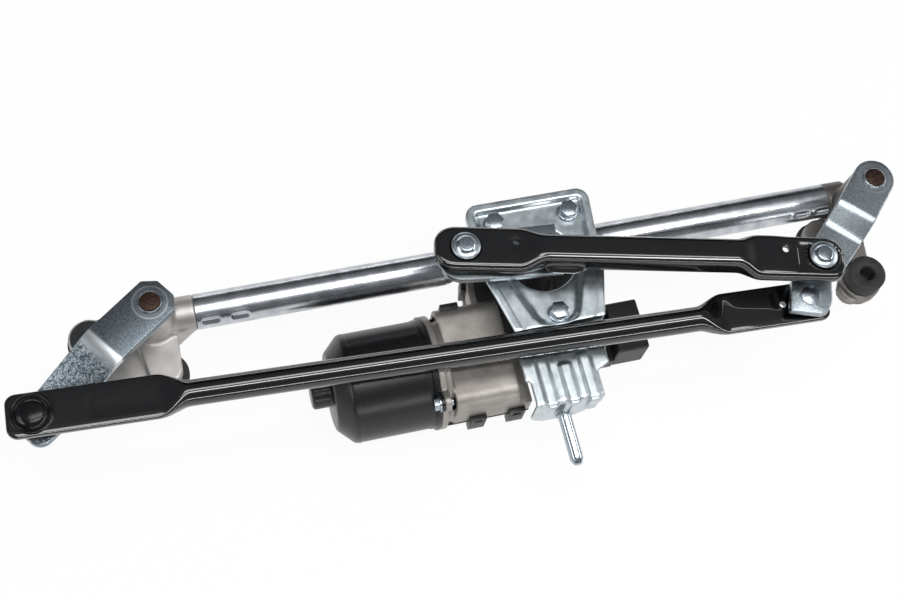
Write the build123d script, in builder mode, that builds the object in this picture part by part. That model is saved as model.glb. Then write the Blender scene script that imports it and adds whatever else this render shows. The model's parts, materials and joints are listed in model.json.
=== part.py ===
from build123d import *
import os
from math import atan2, cos, degrees, hypot, radians, sin, sqrt

os.makedirs("parts", exist_ok=True)

# A car's wiper linkage, lying with its cranks upwards, in millimetres.
# The origin is on the left wiper spindle at the seat of its wiper arm.
# X runs along the frame tube, Z along the spindles towards the cranks.

# Spindle axes, motor axis and levels above the left wiper arm's seat
right_axis_x = 434.8
right_axis_y = -9.3
motor_x = 227.2
motor_y = -13.5
plate_top = 56.0
tube_level = 34.0
tube_y = 1.1
worm_level = 9.5
worm_offset = 40.6

# The linkage at rest, with the motor crank a few degrees from its park dead centre
crank_reach = 49.8
crank_angle = 176.0
drive_arm_reach = 69.6
drive_arm_angle = 220.7
tandem_arm_reach = 87.3
tandem_arm_angle = 225.6
left_arm_reach = 88.1
left_arm_angle = 215.85

# Ball joints
ball_radius = 8.0
ball_face_height = 6.8
ball_neck_radius = 5.4
ball_play = 0.05
socket_wall = 2.0
socket_rim = 1.6
socket_half_height = 4.6
rivet_radius = 4.0
rivet_head_radius = 6.0
rivet_head_height = 1.5
crank_gap = 0.3

# Cranks and their levels
crank_thickness = 5.0
motor_crank_level = plate_top + 9.0
drive_ball_level = plate_top + 27.0
tandem_ball_level = plate_top - 1.0
left_crank_level = plate_top + 1.0
left_crank_drop = 17.0
right_crank_level = plate_top + 18.0
right_crank_drop = right_crank_level - motor_crank_level
left_crank_width = 26.0
right_crank_width = 24.8
left_bend_start = 32.5
left_bend_end = 75.0
right_bend_start = 26.0
right_bend_end = 38.5

# Spindles and their housings
spindle_radius = 6.0
spindle_face = 2.0
spindle_fit = 0.04
column_length = 52.0
column_radius = 12.5
bush_wall = 2.0
bush_length = 12.0
washer_thickness = 0.6
collar_radius = 8.5
collar_height = 0.8
clip_thickness = 1.2
clip_radius = 8.6
taper_length = 10.0
taper_radius = 5.0
thread_radius = 4.0
thread_length = 14.0
spigot_length = 24.0
ear_thickness = 8.0
ear_top = plate_top - 24.0
cup_rise = 2.0
cup_wall = 2.5
web_thickness = 5.0
layer_thickness = 4.0

# Rubber grommets, each given by its place from the spindle axis, the radius of the casting's
# ring round it, the radius of its foot and the rise of its head, which is none in a closed cup
grommet_neck = 7.5
grommet_bore = 5.0
grommet_foot = 6.0
left_ears = [(-37.0, -2.8, 12.0, 13.2, 1.5), (2.0, -29.5, 9.6, 13.2, 0.0)]
right_ears = [(-22.6, -11.0, 9.6, 11.5, 0.0), (-6.4, -45.7, 12.6, 11.5, 10.0)]

# Frame tube, squeezed narrow between the motor shaft and the bracket's upper bolts
tube_radius = 10.5
tube_wall = 1.5
tube_left_end = 24.2
tube_right_end = 420.5
squeeze_width = 13.0
squeeze_left = -43.0
squeeze_right = 32.0
squeeze_run = 13.0

# Motor bracket
sheet = 2.5
rim_height = 2.5
rim_width = 7.0
bracket_hole_radius = 20.3
bolt_circle = 35.3
bolt_angles = [49.5, 130.5, 270.0]
flange_top = plate_top - 13.0
flange_end = -97.0
lip_bottom = plate_top - 42.0
rib_height = 2.3
tab_length = 27.0

# Bolts, locating pin
bolt_shank = 3.0
bolt_length = 16.0
bolt_flange_radius = 6.5
bolt_flange_height = 1.5
bolt_hex = 10.0
bolt_height = 6.5
pin_radius = 4.0
pin_level = plate_top - 36.0
pin_x = motor_x - 3.2
pin_length = 31.5
pin_tip = 3.5

# Motor and gearbox
yoke_radius = 32.5
yoke_wall = 1.5
yoke_rear = 81.5
yoke_front = 153.0
magnet_thickness = 5.5
air_gap = 0.9
core_length = 34.0
armature_radius = 4.0
housing_wall = 4.0
box_rise = 23.0
box_roof = 3.0
bell_end = 199.5
block_end = 208.0
parting_level = plate_top - 51.5
wheel_radius = 33.9
wheel_thickness = 8.0
wheel_teeth = 54
bowl_radius = 40.0
bowl_wall = 3.2
floor_top = plate_top - 38.5
floor_thickness = 2.5
shaft_radius = 4.5
shaft_thread = 4.0
boss_radius = 7.0
boss_top = plate_top - 12.0
post_radius = 5.2
cap_thickness = 2.0
cover_wall = 2.0
worm_radius = 6.2

motor_axis_y = motor_y - worm_offset
left_axis = Axis((0, 0, 0), (0, 0, 1))
right_axis = Axis((right_axis_x, right_axis_y, 0), (0, 0, 1))
motor_axis = Axis((0, motor_axis_y, worm_level), (1, 0, 0))
shaft_axis = Axis((motor_x, motor_y, 0), (0, 0, 1))


def polar(x, y, reach, angle):
    return x + reach * cos(radians(angle)), y + reach * sin(radians(angle))


def upright(x, y):
    """A standing plane through a vertical axis: its x is the radius, its y the height"""
    return Plane(origin=(x, y, 0), x_dir=(1, 0, 0), z_dir=(0, -1, 0))


def turned(plane, outline):
    """The half profile of a turned piece, from points of (radius, height)"""
    with BuildSketch(plane) as profile:
        with BuildLine():
            Polyline(*outline, close=True)
        make_face()
    return profile.sketch


def lengthways(outline):
    """The half profile of a piece turned about the motor's axis, from points of (x, radius)"""
    plane = Plane(origin=(0, motor_axis_y, worm_level), x_dir=(1, 0, 0), z_dir=(0, -1, 0))
    return turned(plane, outline)


def flat_outline(plane, points, corner):
    """A sheet metal outline with rounded corners"""
    with BuildSketch(plane) as outline:
        with BuildLine():
            Polyline(*points, close=True)
        make_face()
        fillet(outline.vertices(), corner)
    return outline.sketch


# Ball joint centres at rest
motor_ball = polar(motor_x, motor_y, crank_reach, crank_angle)
drive_ball = polar(right_axis_x, right_axis_y, drive_arm_reach, drive_arm_angle)
right_tandem_ball = polar(right_axis_x, right_axis_y, tandem_arm_reach, tandem_arm_angle)
left_tandem_ball = polar(0, 0, left_arm_reach, left_arm_angle)
drive_length = hypot(drive_ball[0] - motor_ball[0], drive_ball[1] - motor_ball[1])
drive_angle = degrees(atan2(drive_ball[1] - motor_ball[1], drive_ball[0] - motor_ball[0]))
tandem_x = right_tandem_ball[0] - left_tandem_ball[0]
tandem_y = right_tandem_ball[1] - left_tandem_ball[1]
tandem_length = hypot(tandem_x, tandem_y)
tandem_angle = degrees(atan2(tandem_y, tandem_x))

# Frame tube: drawn steel tube, round at both ends, oval where it passes the motor shaft
squeeze_start = motor_x + squeeze_left
squeeze_end = motor_x + squeeze_right
oval_half_width = squeeze_width / 2
oval_half_height = sqrt(2 * tube_radius**2 - oval_half_width**2)


def across(x):
    """A plane across the tube at x, its own x along the object's Y"""
    return Plane(origin=(x, tube_y, tube_level), x_dir=(0, 1, 0), z_dir=(1, 0, 0))


def tube_body(inset):
    """The tube's outer form, or with the wall as inset its bore"""
    with BuildPart(mode=Mode.PRIVATE) as body:
        runs = [
            (tube_left_end, squeeze_start - squeeze_run, False, False),
            (squeeze_start - squeeze_run, squeeze_start, False, True),
            (squeeze_start, squeeze_end, True, True),
            (squeeze_end, squeeze_end + squeeze_run, True, False),
            (squeeze_end + squeeze_run, tube_right_end, False, False),
        ]
        for start, end, oval_start, oval_end in runs:
            for x, oval in ((start, oval_start), (end, oval_end)):
                with BuildSketch(across(x)):
                    if oval:
                        Ellipse(oval_half_width - inset, oval_half_height - inset)
                    else:
                        Circle(tube_radius - inset)
            loft()
    return body.part


crimp_length = 10.0
crimp_width = 3.6
crimp_depth = 1.0
crimp_places = [8.0, 25.0, 378.0, 392.0]

with BuildPart() as frame_tube:
    add(tube_body(0))
    add(tube_body(tube_wall), mode=Mode.SUBTRACT)
    for turn in (60, 240):
        side = Vector(0, -sin(radians(turn)), cos(radians(turn)))
        for place in crimp_places:
            seat = Vector(tube_left_end + place, tube_y, tube_level) + side * (tube_radius - crimp_depth)
            with BuildSketch(Plane(origin=seat, x_dir=(1, 0, 0), z_dir=side)):
                SlotOverall(crimp_length, crimp_width)
            extrude(amount=2 * crimp_depth, mode=Mode.SUBTRACT)
frame_tube.part.label = "frame_tube"
export_step(frame_tube.part, "parts/frame_tube.step")

# Pivot housings: aluminium castings with a bearing column, a spigot in the tube and two ears
bush_radius = spindle_radius + bush_wall
left_column_top = left_crank_level - collar_height - washer_thickness
right_column_top = right_crank_level - collar_height - washer_thickness
spigot_radius = tube_radius - tube_wall
spigot_fit = 0.05
shoulder_gap = 0.3
rib_thickness = 3.0
web_half = 8.3
ear_foot = ear_top - ear_thickness
tube_room_length = 40.0


def hull_plate(circles, foot, thickness):
    """A level plate drawn tightly round some circles, each given as (x, y, radius)"""
    with BuildSketch(Plane.XY.offset(foot)) as plate:
        for x, y, radius in circles:
            with Locations((x, y)):
                Circle(radius)
        make_hull()
    extrude(plate.sketch, amount=thickness)


def housing_body(x, y, column_top, ears):
    """Column, webs, ears and upright ribs of one pivot housing"""
    foot = column_top - column_length
    revolve(
        turned(
            upright(x, y),
            [
                (0, foot),
                (column_radius - 1, foot),
                (column_radius, foot + 1),
                (column_radius, ear_top - ear_thickness),
                (column_radius + 1.5, ear_top),
                (column_radius - 0.5, column_top - 3),
                (column_radius - 2, column_top),
                (0, column_top),
            ],
        ),
        axis=Axis((x, y, 0), (0, 0, 1)),
    )
    for ear_x, ear_y, ring_radius, foot_radius, rise in ears:
        top = ear_top if rise > 0 else ear_top + cup_rise
        with BuildSketch(Plane.XY.offset(ear_foot)) as ear:
            with Locations((x + ear_x, y + ear_y)):
                Circle(ring_radius)
        extrude(ear.sketch, amount=top - ear_foot)
        web = [(x, y, web_half), (x + ear_x, y + ear_y, web_half)]
        hull_plate(web, ear_foot + rib_thickness / 2, web_thickness)


def housing_bores(x, y, column_top, ears):
    """Spindle bore, bush seats and grommet holes of one pivot housing"""
    foot = column_top - column_length
    with BuildSketch(Plane.XY.offset(foot)) as bore:
        with Locations((x, y)):
            Circle(spindle_radius + 0.6)
    extrude(bore.sketch, amount=column_length, mode=Mode.SUBTRACT)
    with BuildSketch(Plane.XY.offset(foot)) as seat:
        with Locations((x, y)):
            Circle(bush_radius)
    extrude(seat.sketch, amount=bush_length, mode=Mode.SUBTRACT)
    with BuildSketch(Plane.XY.offset(column_top - bush_length)) as seat:
        with Locations((x, y)):
            Circle(bush_radius)
    extrude(seat.sketch, amount=bush_length, mode=Mode.SUBTRACT)
    for ear_x, ear_y, ring_radius, foot_radius, rise in ears:
        with BuildSketch(Plane.XY.offset(ear_foot)) as hole:
            with Locations((x + ear_x, y + ear_y)):
                Circle(grommet_neck)
        roof = ear_top if rise > 0 else ear_top + cup_rise - cup_wall
        extrude(hole.sketch, amount=roof - ear_foot, mode=Mode.SUBTRACT)


with BuildPart() as left_pivot_housing:
    housing_body(0, 0, left_column_top, left_ears)
    (outer_x, outer_y, outer_ring), (front_x, front_y, front_ring) = [ear[:3] for ear in left_ears]
    column = (0, 0, column_radius)
    front_cup = (front_x, front_y, front_ring)
    web_corner = (-26.0, -26.0, web_half)
    hull_plate([column, (outer_x, outer_y, outer_ring), web_corner, front_cup], ear_foot, layer_thickness)
    hull_plate([column, front_cup], ear_foot, ear_top + cup_rise - ear_foot)
    with BuildSketch(across(0)) as shoulder:
        Circle(tube_radius)
    extrude(shoulder.sketch, amount=tube_left_end - shoulder_gap)
    with BuildSketch(across(tube_left_end - shoulder_gap)) as spigot:
        Circle(spigot_radius - spigot_fit)
    extrude(spigot.sketch, amount=spigot_length)
    neck_front = tube_y - tube_radius
    with BuildSketch(Plane(origin=(0, neck_front, 0), x_dir=(1, 0, 0), z_dir=(0, -1, 0))) as gusset:
        with BuildLine():
            Polyline(
                (0, tube_level + 2),
                (tube_left_end - 2, tube_level + 2),
                (tube_left_end - 2, tube_level - 4),
                (column_radius - 0.5, ear_foot - 12),
                (0, ear_foot - 12),
                close=True,
            )
        make_face()
    extrude(gusset.sketch, amount=-rib_thickness)
    with BuildSketch(Plane.XY.offset(tube_level - 1)) as fin:
        with BuildLine():
            Polyline(
                (0, neck_front - 2.5),
                (tube_left_end - 2, neck_front),
                (tube_left_end - 2, tube_y),
                (0, tube_y),
                close=True,
            )
        make_face()
    extrude(fin.sketch, amount=rib_thickness)
    housing_bores(0, 0, left_column_top, left_ears)
left_pivot_housing.part.label = "left_pivot_housing"
export_step(left_pivot_housing.part, "parts/left_pivot_housing.step")

with BuildPart() as right_pivot_housing:
    housing_body(right_axis_x, right_axis_y, right_column_top, right_ears)
    front_x, front_y, front_ring = right_ears[1][:3]
    front_x += right_axis_x
    front_y += right_axis_y
    front_corner = (front_x - 7.4, front_y - 4.0, web_half)
    hull_plate([(front_x, front_y, front_ring), front_corner], ear_foot, layer_thickness)
    with BuildSketch(across(tube_right_end + shoulder_gap)) as tube_room:
        Circle(tube_radius + shoulder_gap)
    extrude(tube_room.sketch, amount=-tube_room_length, mode=Mode.SUBTRACT)
    with BuildSketch(across(right_axis_x)) as shoulder:
        Circle(tube_radius)
    extrude(shoulder.sketch, amount=tube_right_end + shoulder_gap - right_axis_x)
    with BuildSketch(across(tube_right_end + shoulder_gap)) as spigot:
        Circle(spigot_radius - spigot_fit)
    extrude(spigot.sketch, amount=-spigot_length)
    housing_bores(right_axis_x, right_axis_y, right_column_top, right_ears)
right_pivot_housing.part.label = "right_pivot_housing"
export_step(right_pivot_housing.part, "parts/right_pivot_housing.step")

# Grommets: rubber bushes pressed into the ears from below, each with a bore for the body's stud
grommet_roll = 1.5
head_inset = 1.1


def grommet_pair(x, y, ears):
    for ear_x, ear_y, ring_radius, foot_radius, rise in ears:
        foot = ear_foot - grommet_foot
        outline = [
            (grommet_bore, foot),
            (foot_radius - grommet_roll, foot),
            (foot_radius, foot + grommet_roll),
            (foot_radius, ear_foot),
            (grommet_neck, ear_foot),
        ]
        if rise > 0:
            head = ring_radius - head_inset
            roll = min(grommet_roll, rise / 2)
            outline += [
                (grommet_neck, ear_top),
                (head, ear_top),
                (head, ear_top + rise - roll),
                (head - roll, ear_top + rise),
                (grommet_bore, ear_top + rise),
            ]
        else:
            roof = ear_top + cup_rise - cup_wall
            outline += [(grommet_neck, roof), (grommet_bore, roof)]
        revolve(
            turned(upright(x + ear_x, y + ear_y), outline),
            axis=Axis((x + ear_x, y + ear_y, 0), (0, 0, 1)),
        )


with BuildPart() as left_grommets:
    grommet_pair(0, 0, left_ears)
left_grommets.part.label = "left_grommets"
export_step(left_grommets.part, "parts/left_grommets.step")

with BuildPart() as right_grommets:
    grommet_pair(right_axis_x, right_axis_y, right_ears)
right_grommets.part.label = "right_grommets"
export_step(right_grommets.part, "parts/right_grommets.step")


# Spindle bushes: sintered bronze, one at each end of a column
def ring(x, y, level, height, outer, inner):
    with BuildSketch(Plane.XY.offset(level)) as section:
        with Locations((x, y)):
            Circle(outer)
            Circle(inner, mode=Mode.SUBTRACT)
    extrude(section.sketch, amount=height)


def bush_pair(x, y, column_top):
    for level in (column_top - bush_length, column_top - column_length):
        ring(x, y, level, bush_length, bush_radius, spindle_radius + spindle_fit)


with BuildPart() as left_bushes:
    bush_pair(0, 0, left_column_top)
left_bushes.part.label = "left_bushes"
export_step(left_bushes.part, "parts/left_bushes.step")

with BuildPart() as right_bushes:
    bush_pair(right_axis_x, right_axis_y, right_column_top)
right_bushes.part.label = "right_bushes"
export_step(right_bushes.part, "parts/right_bushes.step")


# Thrust washers: one under the crank's collar, one above the retaining clip
def washer_pair(x, y, column_top):
    for level in (column_top, column_top - column_length - washer_thickness):
        ring(x, y, level, washer_thickness, collar_radius, spindle_radius + spindle_fit)


with BuildPart() as left_washers:
    washer_pair(0, 0, left_column_top)
left_washers.part.label = "left_washers"
export_step(left_washers.part, "parts/left_washers.step")

with BuildPart() as right_washers:
    washer_pair(right_axis_x, right_axis_y, right_column_top)
right_washers.part.label = "right_washers"
export_step(right_washers.part, "parts/right_washers.step")


# Spindles: hardened steel, riveted into the crank, with a taper and thread for the wiper arm
clip_groove = 1.0
clip_top_gap = 0.2
seat_drop = 1.6


def spindle(x, y, crank_level):
    column_foot = crank_level - collar_height - washer_thickness - column_length
    clip_top = column_foot - washer_thickness - clip_top_gap
    seat = clip_top - clip_thickness - seat_drop
    face = crank_level + crank_thickness + spindle_face
    revolve(
        turned(
            upright(x, y),
            [
                (0, seat - taper_length - thread_length),
                (thread_radius - 1, seat - taper_length - thread_length),
                (thread_radius, seat - taper_length - thread_length + 1),
                (thread_radius, seat - taper_length),
                (taper_radius, seat - taper_length),
                (spindle_radius, seat),
                (spindle_radius, clip_top - clip_thickness),
                (spindle_radius - clip_groove, clip_top - clip_thickness),
                (spindle_radius - clip_groove, clip_top),
                (spindle_radius, clip_top),
                (spindle_radius, crank_level - collar_height),
                (collar_radius, crank_level - collar_height),
                (collar_radius, crank_level),
                (spindle_radius, crank_level),
                (spindle_radius, face - 0.5),
                (spindle_radius - 0.5, face),
                (0, face),
            ],
        ),
        axis=Axis((x, y, 0), (0, 0, 1)),
    )
    return clip_top


with BuildPart() as left_spindle:
    left_clip_top = spindle(0, 0, left_crank_level)
left_spindle.part.label = "left_spindle"
export_step(left_spindle.part, "parts/left_spindle.step")

with BuildPart() as right_spindle:
    right_clip_top = spindle(right_axis_x, right_axis_y, right_crank_level)
right_spindle.part.label = "right_spindle"
export_step(right_spindle.part, "parts/right_spindle.step")


# Retaining clips: open rings snapped into the spindle grooves
def snap_ring(x, y, clip_top):
    with BuildSketch(Plane.XY.offset(clip_top)) as section:
        with Locations((x, y)):
            Circle(clip_radius)
            Circle(spindle_radius - clip_groove, mode=Mode.SUBTRACT)
        with Locations((x, y - clip_radius)):
            Rectangle(2 * clip_groove + 3, 2 * clip_radius - 2, mode=Mode.SUBTRACT)
    extrude(section.sketch, amount=-clip_thickness)


with BuildPart() as left_clip:
    snap_ring(0, 0, left_clip_top)
left_clip.part.label = "left_clip"
export_step(left_clip.part, "parts/left_clip.step")

with BuildPart() as right_clip:
    snap_ring(right_axis_x, right_axis_y, right_clip_top)
right_clip.part.label = "right_clip"
export_step(right_clip.part, "parts/right_clip.step")


# Cranks: 5 mm zinc plated plate, bent to bring its balls to the level of the links
def bent_profile(plane, reach, back, bend_start, bend_end, level, drop, half_width):
    """The crank's side view along its length, drawn through its thickness and given its width"""
    side = Plane(origin=plane.origin, x_dir=plane.x_dir, z_dir=plane.y_dir * -1)
    with BuildSketch(side) as profile:
        with BuildLine():
            Polyline(
                (-back, level),
                (bend_start, level),
                (bend_end, level - drop),
                (reach, level - drop),
                (reach, level - drop + crank_thickness),
                (bend_end + 1, level - drop + crank_thickness),
                (bend_start + 1, level + crank_thickness),
                (-back, level + crank_thickness),
                close=True,
            )
        make_face()
    extrude(profile.sketch, amount=half_width, both=True)


def punch(x, y, level, radius):
    """A round hole through a crank"""
    with BuildSketch(Plane.XY.offset(level)) as hole:
        with Locations((x, y)):
            Circle(radius)
    extrude(hole.sketch, amount=crank_thickness, mode=Mode.SUBTRACT)


def coined_collar(x, y, level):
    """The cone of metal that is pressed up round a spindle's end"""
    revolve(
        turned(
            upright(x, y),
            [
                (spindle_radius, level - 0.5),
                (spindle_radius + collar_foot, level - 0.5),
                (spindle_radius + collar_foot, level),
                (spindle_radius + 0.3, level + collar_rise),
                (spindle_radius, level + collar_rise),
            ],
        ),
        axis=Axis((x, y, 0), (0, 0, 1)),
    )


left_plane = Plane(
    origin=(0, 0, 0),
    x_dir=(cos(radians(left_arm_angle)), sin(radians(left_arm_angle)), 0),
    z_dir=(0, 0, 1),
)
right_plane = Plane(
    origin=(right_axis_x, right_axis_y, 0),
    x_dir=(cos(radians(tandem_arm_angle)), sin(radians(tandem_arm_angle)), 0),
    z_dir=(0, 0, 1),
)
crank_height = 60.0
left_half = left_crank_width / 2
right_half = right_crank_width / 2
left_head = 12.2
left_tip = 9.5
tip_corner = 7.5
head_cut = 6.5
lug_corner = 3.5
collar_foot = 1.3
collar_rise = 1.4

with BuildPart() as left_crank_arm:
    bent_profile(
        left_plane,
        left_arm_reach + left_tip,
        left_head,
        left_bend_start,
        left_bend_end,
        left_crank_level,
        left_crank_drop,
        left_half,
    )
    with BuildSketch(left_plane) as outline:
        with BuildLine():
            Polyline(
                (-left_head, -left_half + head_cut),
                (-left_head + head_cut, -left_half),
                (left_arm_reach + left_tip, -left_half),
                (left_arm_reach + left_tip, left_half),
                (-left_head + head_cut, left_half),
                (-left_head, left_half - head_cut),
                close=True,
            )
        make_face()
        end_corners = outline.vertices().group_by(SortBy.DISTANCE)[-1]
        fillet(end_corners, tip_corner)
    extrude(outline.sketch, amount=plate_top + crank_height, mode=Mode.INTERSECT)
    coined_collar(0, 0, left_crank_level + crank_thickness)
    punch(0, 0, left_crank_level, spindle_radius)
    punch(*left_tandem_ball, left_crank_level - left_crank_drop, rivet_radius)
left_crank_arm.part.label = "left_crank_arm"
export_step(left_crank_arm.part, "parts/left_crank_arm.step")

with BuildPart() as right_crank_arm:
    bent_profile(
        right_plane,
        tandem_arm_reach + 20,
        right_half,
        right_bend_start,
        right_bend_end,
        right_crank_level,
        right_crank_drop,
        right_half + 5,
    )
    with BuildSketch(right_plane) as outline:
        with BuildLine():
            head = CenterArc((0, 0), right_half, 90, 180)
            Polyline(
                head @ 1,
                (tandem_arm_reach - 3.3, -right_half - 1.3),
                (tandem_arm_reach + 15.7, -5.5),
                (tandem_arm_reach + 6.0, 13.5),
                (tandem_arm_reach - 3.5, 13.3),
                (tandem_arm_reach - 16.2, 7.0),
                (tandem_arm_reach - 21.0, 10.2),
                (right_bend_end, right_half),
                head @ 0,
            )
        make_face()
        lug_corners = outline.vertices().filter_by(lambda corner: corner.X > tandem_arm_reach - 10)
        fillet(lug_corners, lug_corner)
    extrude(outline.sketch, amount=plate_top + crank_height, mode=Mode.INTERSECT)
    coined_collar(right_axis_x, right_axis_y, right_crank_level + crank_thickness)
    punch(right_axis_x, right_axis_y, right_crank_level, spindle_radius)
    punch(*drive_ball, motor_crank_level, rivet_radius)
    punch(*right_tandem_ball, motor_crank_level, rivet_radius)
right_crank_arm.part.label = "right_crank_arm"
export_step(right_crank_arm.part, "parts/right_crank_arm.step")

# Motor crank: tapered plate, wide at the shaft, with a pressed boss round the shaft
motor_plane = Plane(
    origin=(motor_x, motor_y, 0),
    x_dir=(cos(radians(crank_angle)), sin(radians(crank_angle)), 0),
    z_dir=(0, 0, 1),
)
crank_eye = 13.6
crank_root = 15.5
crank_boss_radius = 10.5
crank_boss_height = 1.4
with BuildPart() as motor_crank:
    with BuildSketch(motor_plane.offset(motor_crank_level)) as outline:
        with Locations((crank_reach, 0)):
            Circle(crank_eye)
        with Locations((2, 0)):
            Rectangle(2 * crank_boss_radius - 1, 2 * crank_root)
        make_hull()
    extrude(outline.sketch, amount=crank_thickness)
    with BuildSketch(motor_plane.offset(motor_crank_level + crank_thickness)) as boss:
        Circle(crank_boss_radius)
    extrude(boss.sketch, amount=crank_boss_height, taper=35)
    with BuildSketch(Plane.XY.offset(motor_crank_level)) as hole:
        with Locations((motor_x, motor_y)):
            Circle(shaft_radius)
    extrude(hole.sketch, amount=crank_thickness + crank_boss_height, mode=Mode.SUBTRACT)
    punch(*motor_ball, motor_crank_level, rivet_radius)
motor_crank.part.label = "motor_crank"
export_step(motor_crank.part, "parts/motor_crank.step")

# Crank nut: flanged steel nut on the shaft's thread
nut_hex = 12.0
nut_height = 5.0
nut_base = motor_crank_level + crank_thickness + crank_boss_height
with BuildPart() as crank_nut:
    with BuildSketch(Plane.XY.offset(nut_base)) as hexagon:
        with Locations((motor_x, motor_y)):
            RegularPolygon(nut_hex / 2, 6, major_radius=False)
            Circle(shaft_thread, mode=Mode.SUBTRACT)
    extrude(hexagon.sketch, amount=nut_height)
    chamfer(crank_nut.edges().group_by(Axis.Z)[-1].filter_by(GeomType.LINE), 0.6)
crank_nut.part.label = "crank_nut"
export_step(crank_nut.part, "parts/crank_nut.step")


# Ball pins: turned steel balls on a collar, with a flat end face
def ball_profile(x, y, level, face, stem_start, upwards):
    """Half profile of a ball pin from its stem to the far face of its ball"""
    way = 1 if upwards else -1
    neck_drop = sqrt(ball_radius**2 - ball_neck_radius**2)
    neck = level - way * neck_drop
    end_radius = sqrt(max(ball_radius**2 - face**2, 0))
    with BuildSketch(upright(x, y)) as profile:
        with BuildLine():
            Line((0, stem_start), (ball_neck_radius, stem_start))
            Line((ball_neck_radius, stem_start), (ball_neck_radius, neck))
            ThreePointArc(
                (ball_neck_radius, neck),
                (ball_radius, level),
                (end_radius, level + way * face),
            )
            if end_radius > 0:
                Line((end_radius, level + way * face), (0, level + way * face))
            Line((0, level + way * face), (0, stem_start))
        make_face()
    return profile.sketch


def collar_ring(x, y, start, height, radius):
    with BuildSketch(Plane.XY.offset(start)) as collar:
        with Locations((x, y)):
            Circle(radius)
    extrude(collar.sketch, amount=height)


def rivet(x, y, level, below):
    """A riveted stem through a crank, with its flattened head on the side away from the ball"""
    collar_ring(x, y, level, crank_thickness, rivet_radius)
    if below:
        collar_ring(x, y, level - rivet_head_height, rivet_head_height, rivet_head_radius)
    else:
        collar_ring(x, y, level + crank_thickness, rivet_head_height / 2, rivet_head_radius)


pin_collar_radius = 7.4
pin_collar_height = 2.2
crank_top = motor_crank_level + crank_thickness
tandem_face = ball_radius - 0.4

with BuildPart() as motor_ball_pin:
    revolve(
        ball_profile(*motor_ball, drive_ball_level, ball_face_height, crank_top + crank_gap, True),
        axis=Axis((*motor_ball, 0), (0, 0, 1)),
    )
    collar_ring(*motor_ball, crank_top + crank_gap, pin_collar_height, pin_collar_radius)
motor_ball_pin.part.label = "motor_ball_pin"
export_step(motor_ball_pin.part, "parts/motor_ball_pin.step")

with BuildPart() as motor_ball_rivet:
    rivet(*motor_ball, motor_crank_level, True)
motor_ball_rivet.part.label = "motor_ball_rivet"
export_step(motor_ball_rivet.part, "parts/motor_ball_rivet.step")

with BuildPart() as drive_ball_pin:
    revolve(
        ball_profile(*drive_ball, drive_ball_level, ball_face_height, crank_top, True),
        axis=Axis((*drive_ball, 0), (0, 0, 1)),
    )
    collar_ring(*drive_ball, crank_top, pin_collar_height, pin_collar_radius)
    rivet(*drive_ball, motor_crank_level, True)
drive_ball_pin.part.label = "drive_ball_pin"
export_step(drive_ball_pin.part, "parts/drive_ball_pin.step")

with BuildPart() as right_tandem_ball_pin:
    revolve(
        ball_profile(*right_tandem_ball, tandem_ball_level, tandem_face, motor_crank_level, False),
        axis=Axis((*right_tandem_ball, 0), (0, 0, 1)),
    )
    rivet(*right_tandem_ball, motor_crank_level, False)
right_tandem_ball_pin.part.label = "right_tandem_ball_pin"
export_step(right_tandem_ball_pin.part, "parts/right_tandem_ball_pin.step")

left_ball_seat = left_crank_level - left_crank_drop + crank_thickness
with BuildPart() as left_tandem_ball_pin:
    revolve(
        ball_profile(*left_tandem_ball, tandem_ball_level, tandem_face, left_ball_seat + crank_gap, True),
        axis=Axis((*left_tandem_ball, 0), (0, 0, 1)),
    )
left_tandem_ball_pin.part.label = "left_tandem_ball_pin"
export_step(left_tandem_ball_pin.part, "parts/left_tandem_ball_pin.step")

with BuildPart() as left_ball_rivet:
    rivet(*left_tandem_ball, left_crank_level - left_crank_drop, True)
left_ball_rivet.part.label = "left_ball_rivet"
export_step(left_ball_rivet.part, "parts/left_ball_rivet.step")

# Ball sockets: black plastic liners held in the links' end plates
cup_radius = ball_radius + ball_play
liner_radius = cup_radius + socket_wall
liner_rim = liner_radius + socket_rim
link_sheet = 2.5
drive_plate_top = drive_ball_level + 1.0
tandem_plate_top = tandem_ball_level + 5.8
tandem_plate_thickness = 4.2
rim_thickness = 1.6
dome_wall = 1.2
liner_top = 3.9


def open_liner(x, y):
    """An open ring that grips the ball above and below its middle"""
    low = drive_ball_level - socket_half_height
    high = drive_ball_level + liner_top
    mouth = sqrt(cup_radius**2 - socket_half_height**2)
    upper_mouth = sqrt(cup_radius**2 - liner_top**2)
    plate_foot = drive_plate_top - link_sheet
    with BuildSketch(upright(x, y)) as profile:
        with BuildLine():
            ThreePointArc((mouth, low), (cup_radius, drive_ball_level), (upper_mouth, high))
            Polyline(
                (upper_mouth, high),
                (cup_radius + 0.5, high),
                (liner_rim, drive_plate_top + 1.0),
                (liner_rim, drive_plate_top),
                (liner_radius, drive_plate_top),
                (liner_radius, plate_foot),
                (liner_rim, plate_foot),
                (liner_rim, plate_foot - rim_thickness),
                (liner_radius - 0.6, low),
                (mouth, low),
            )
        make_face()
    revolve(profile.sketch, axis=Axis((x, y, 0), (0, 0, 1)))


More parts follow.
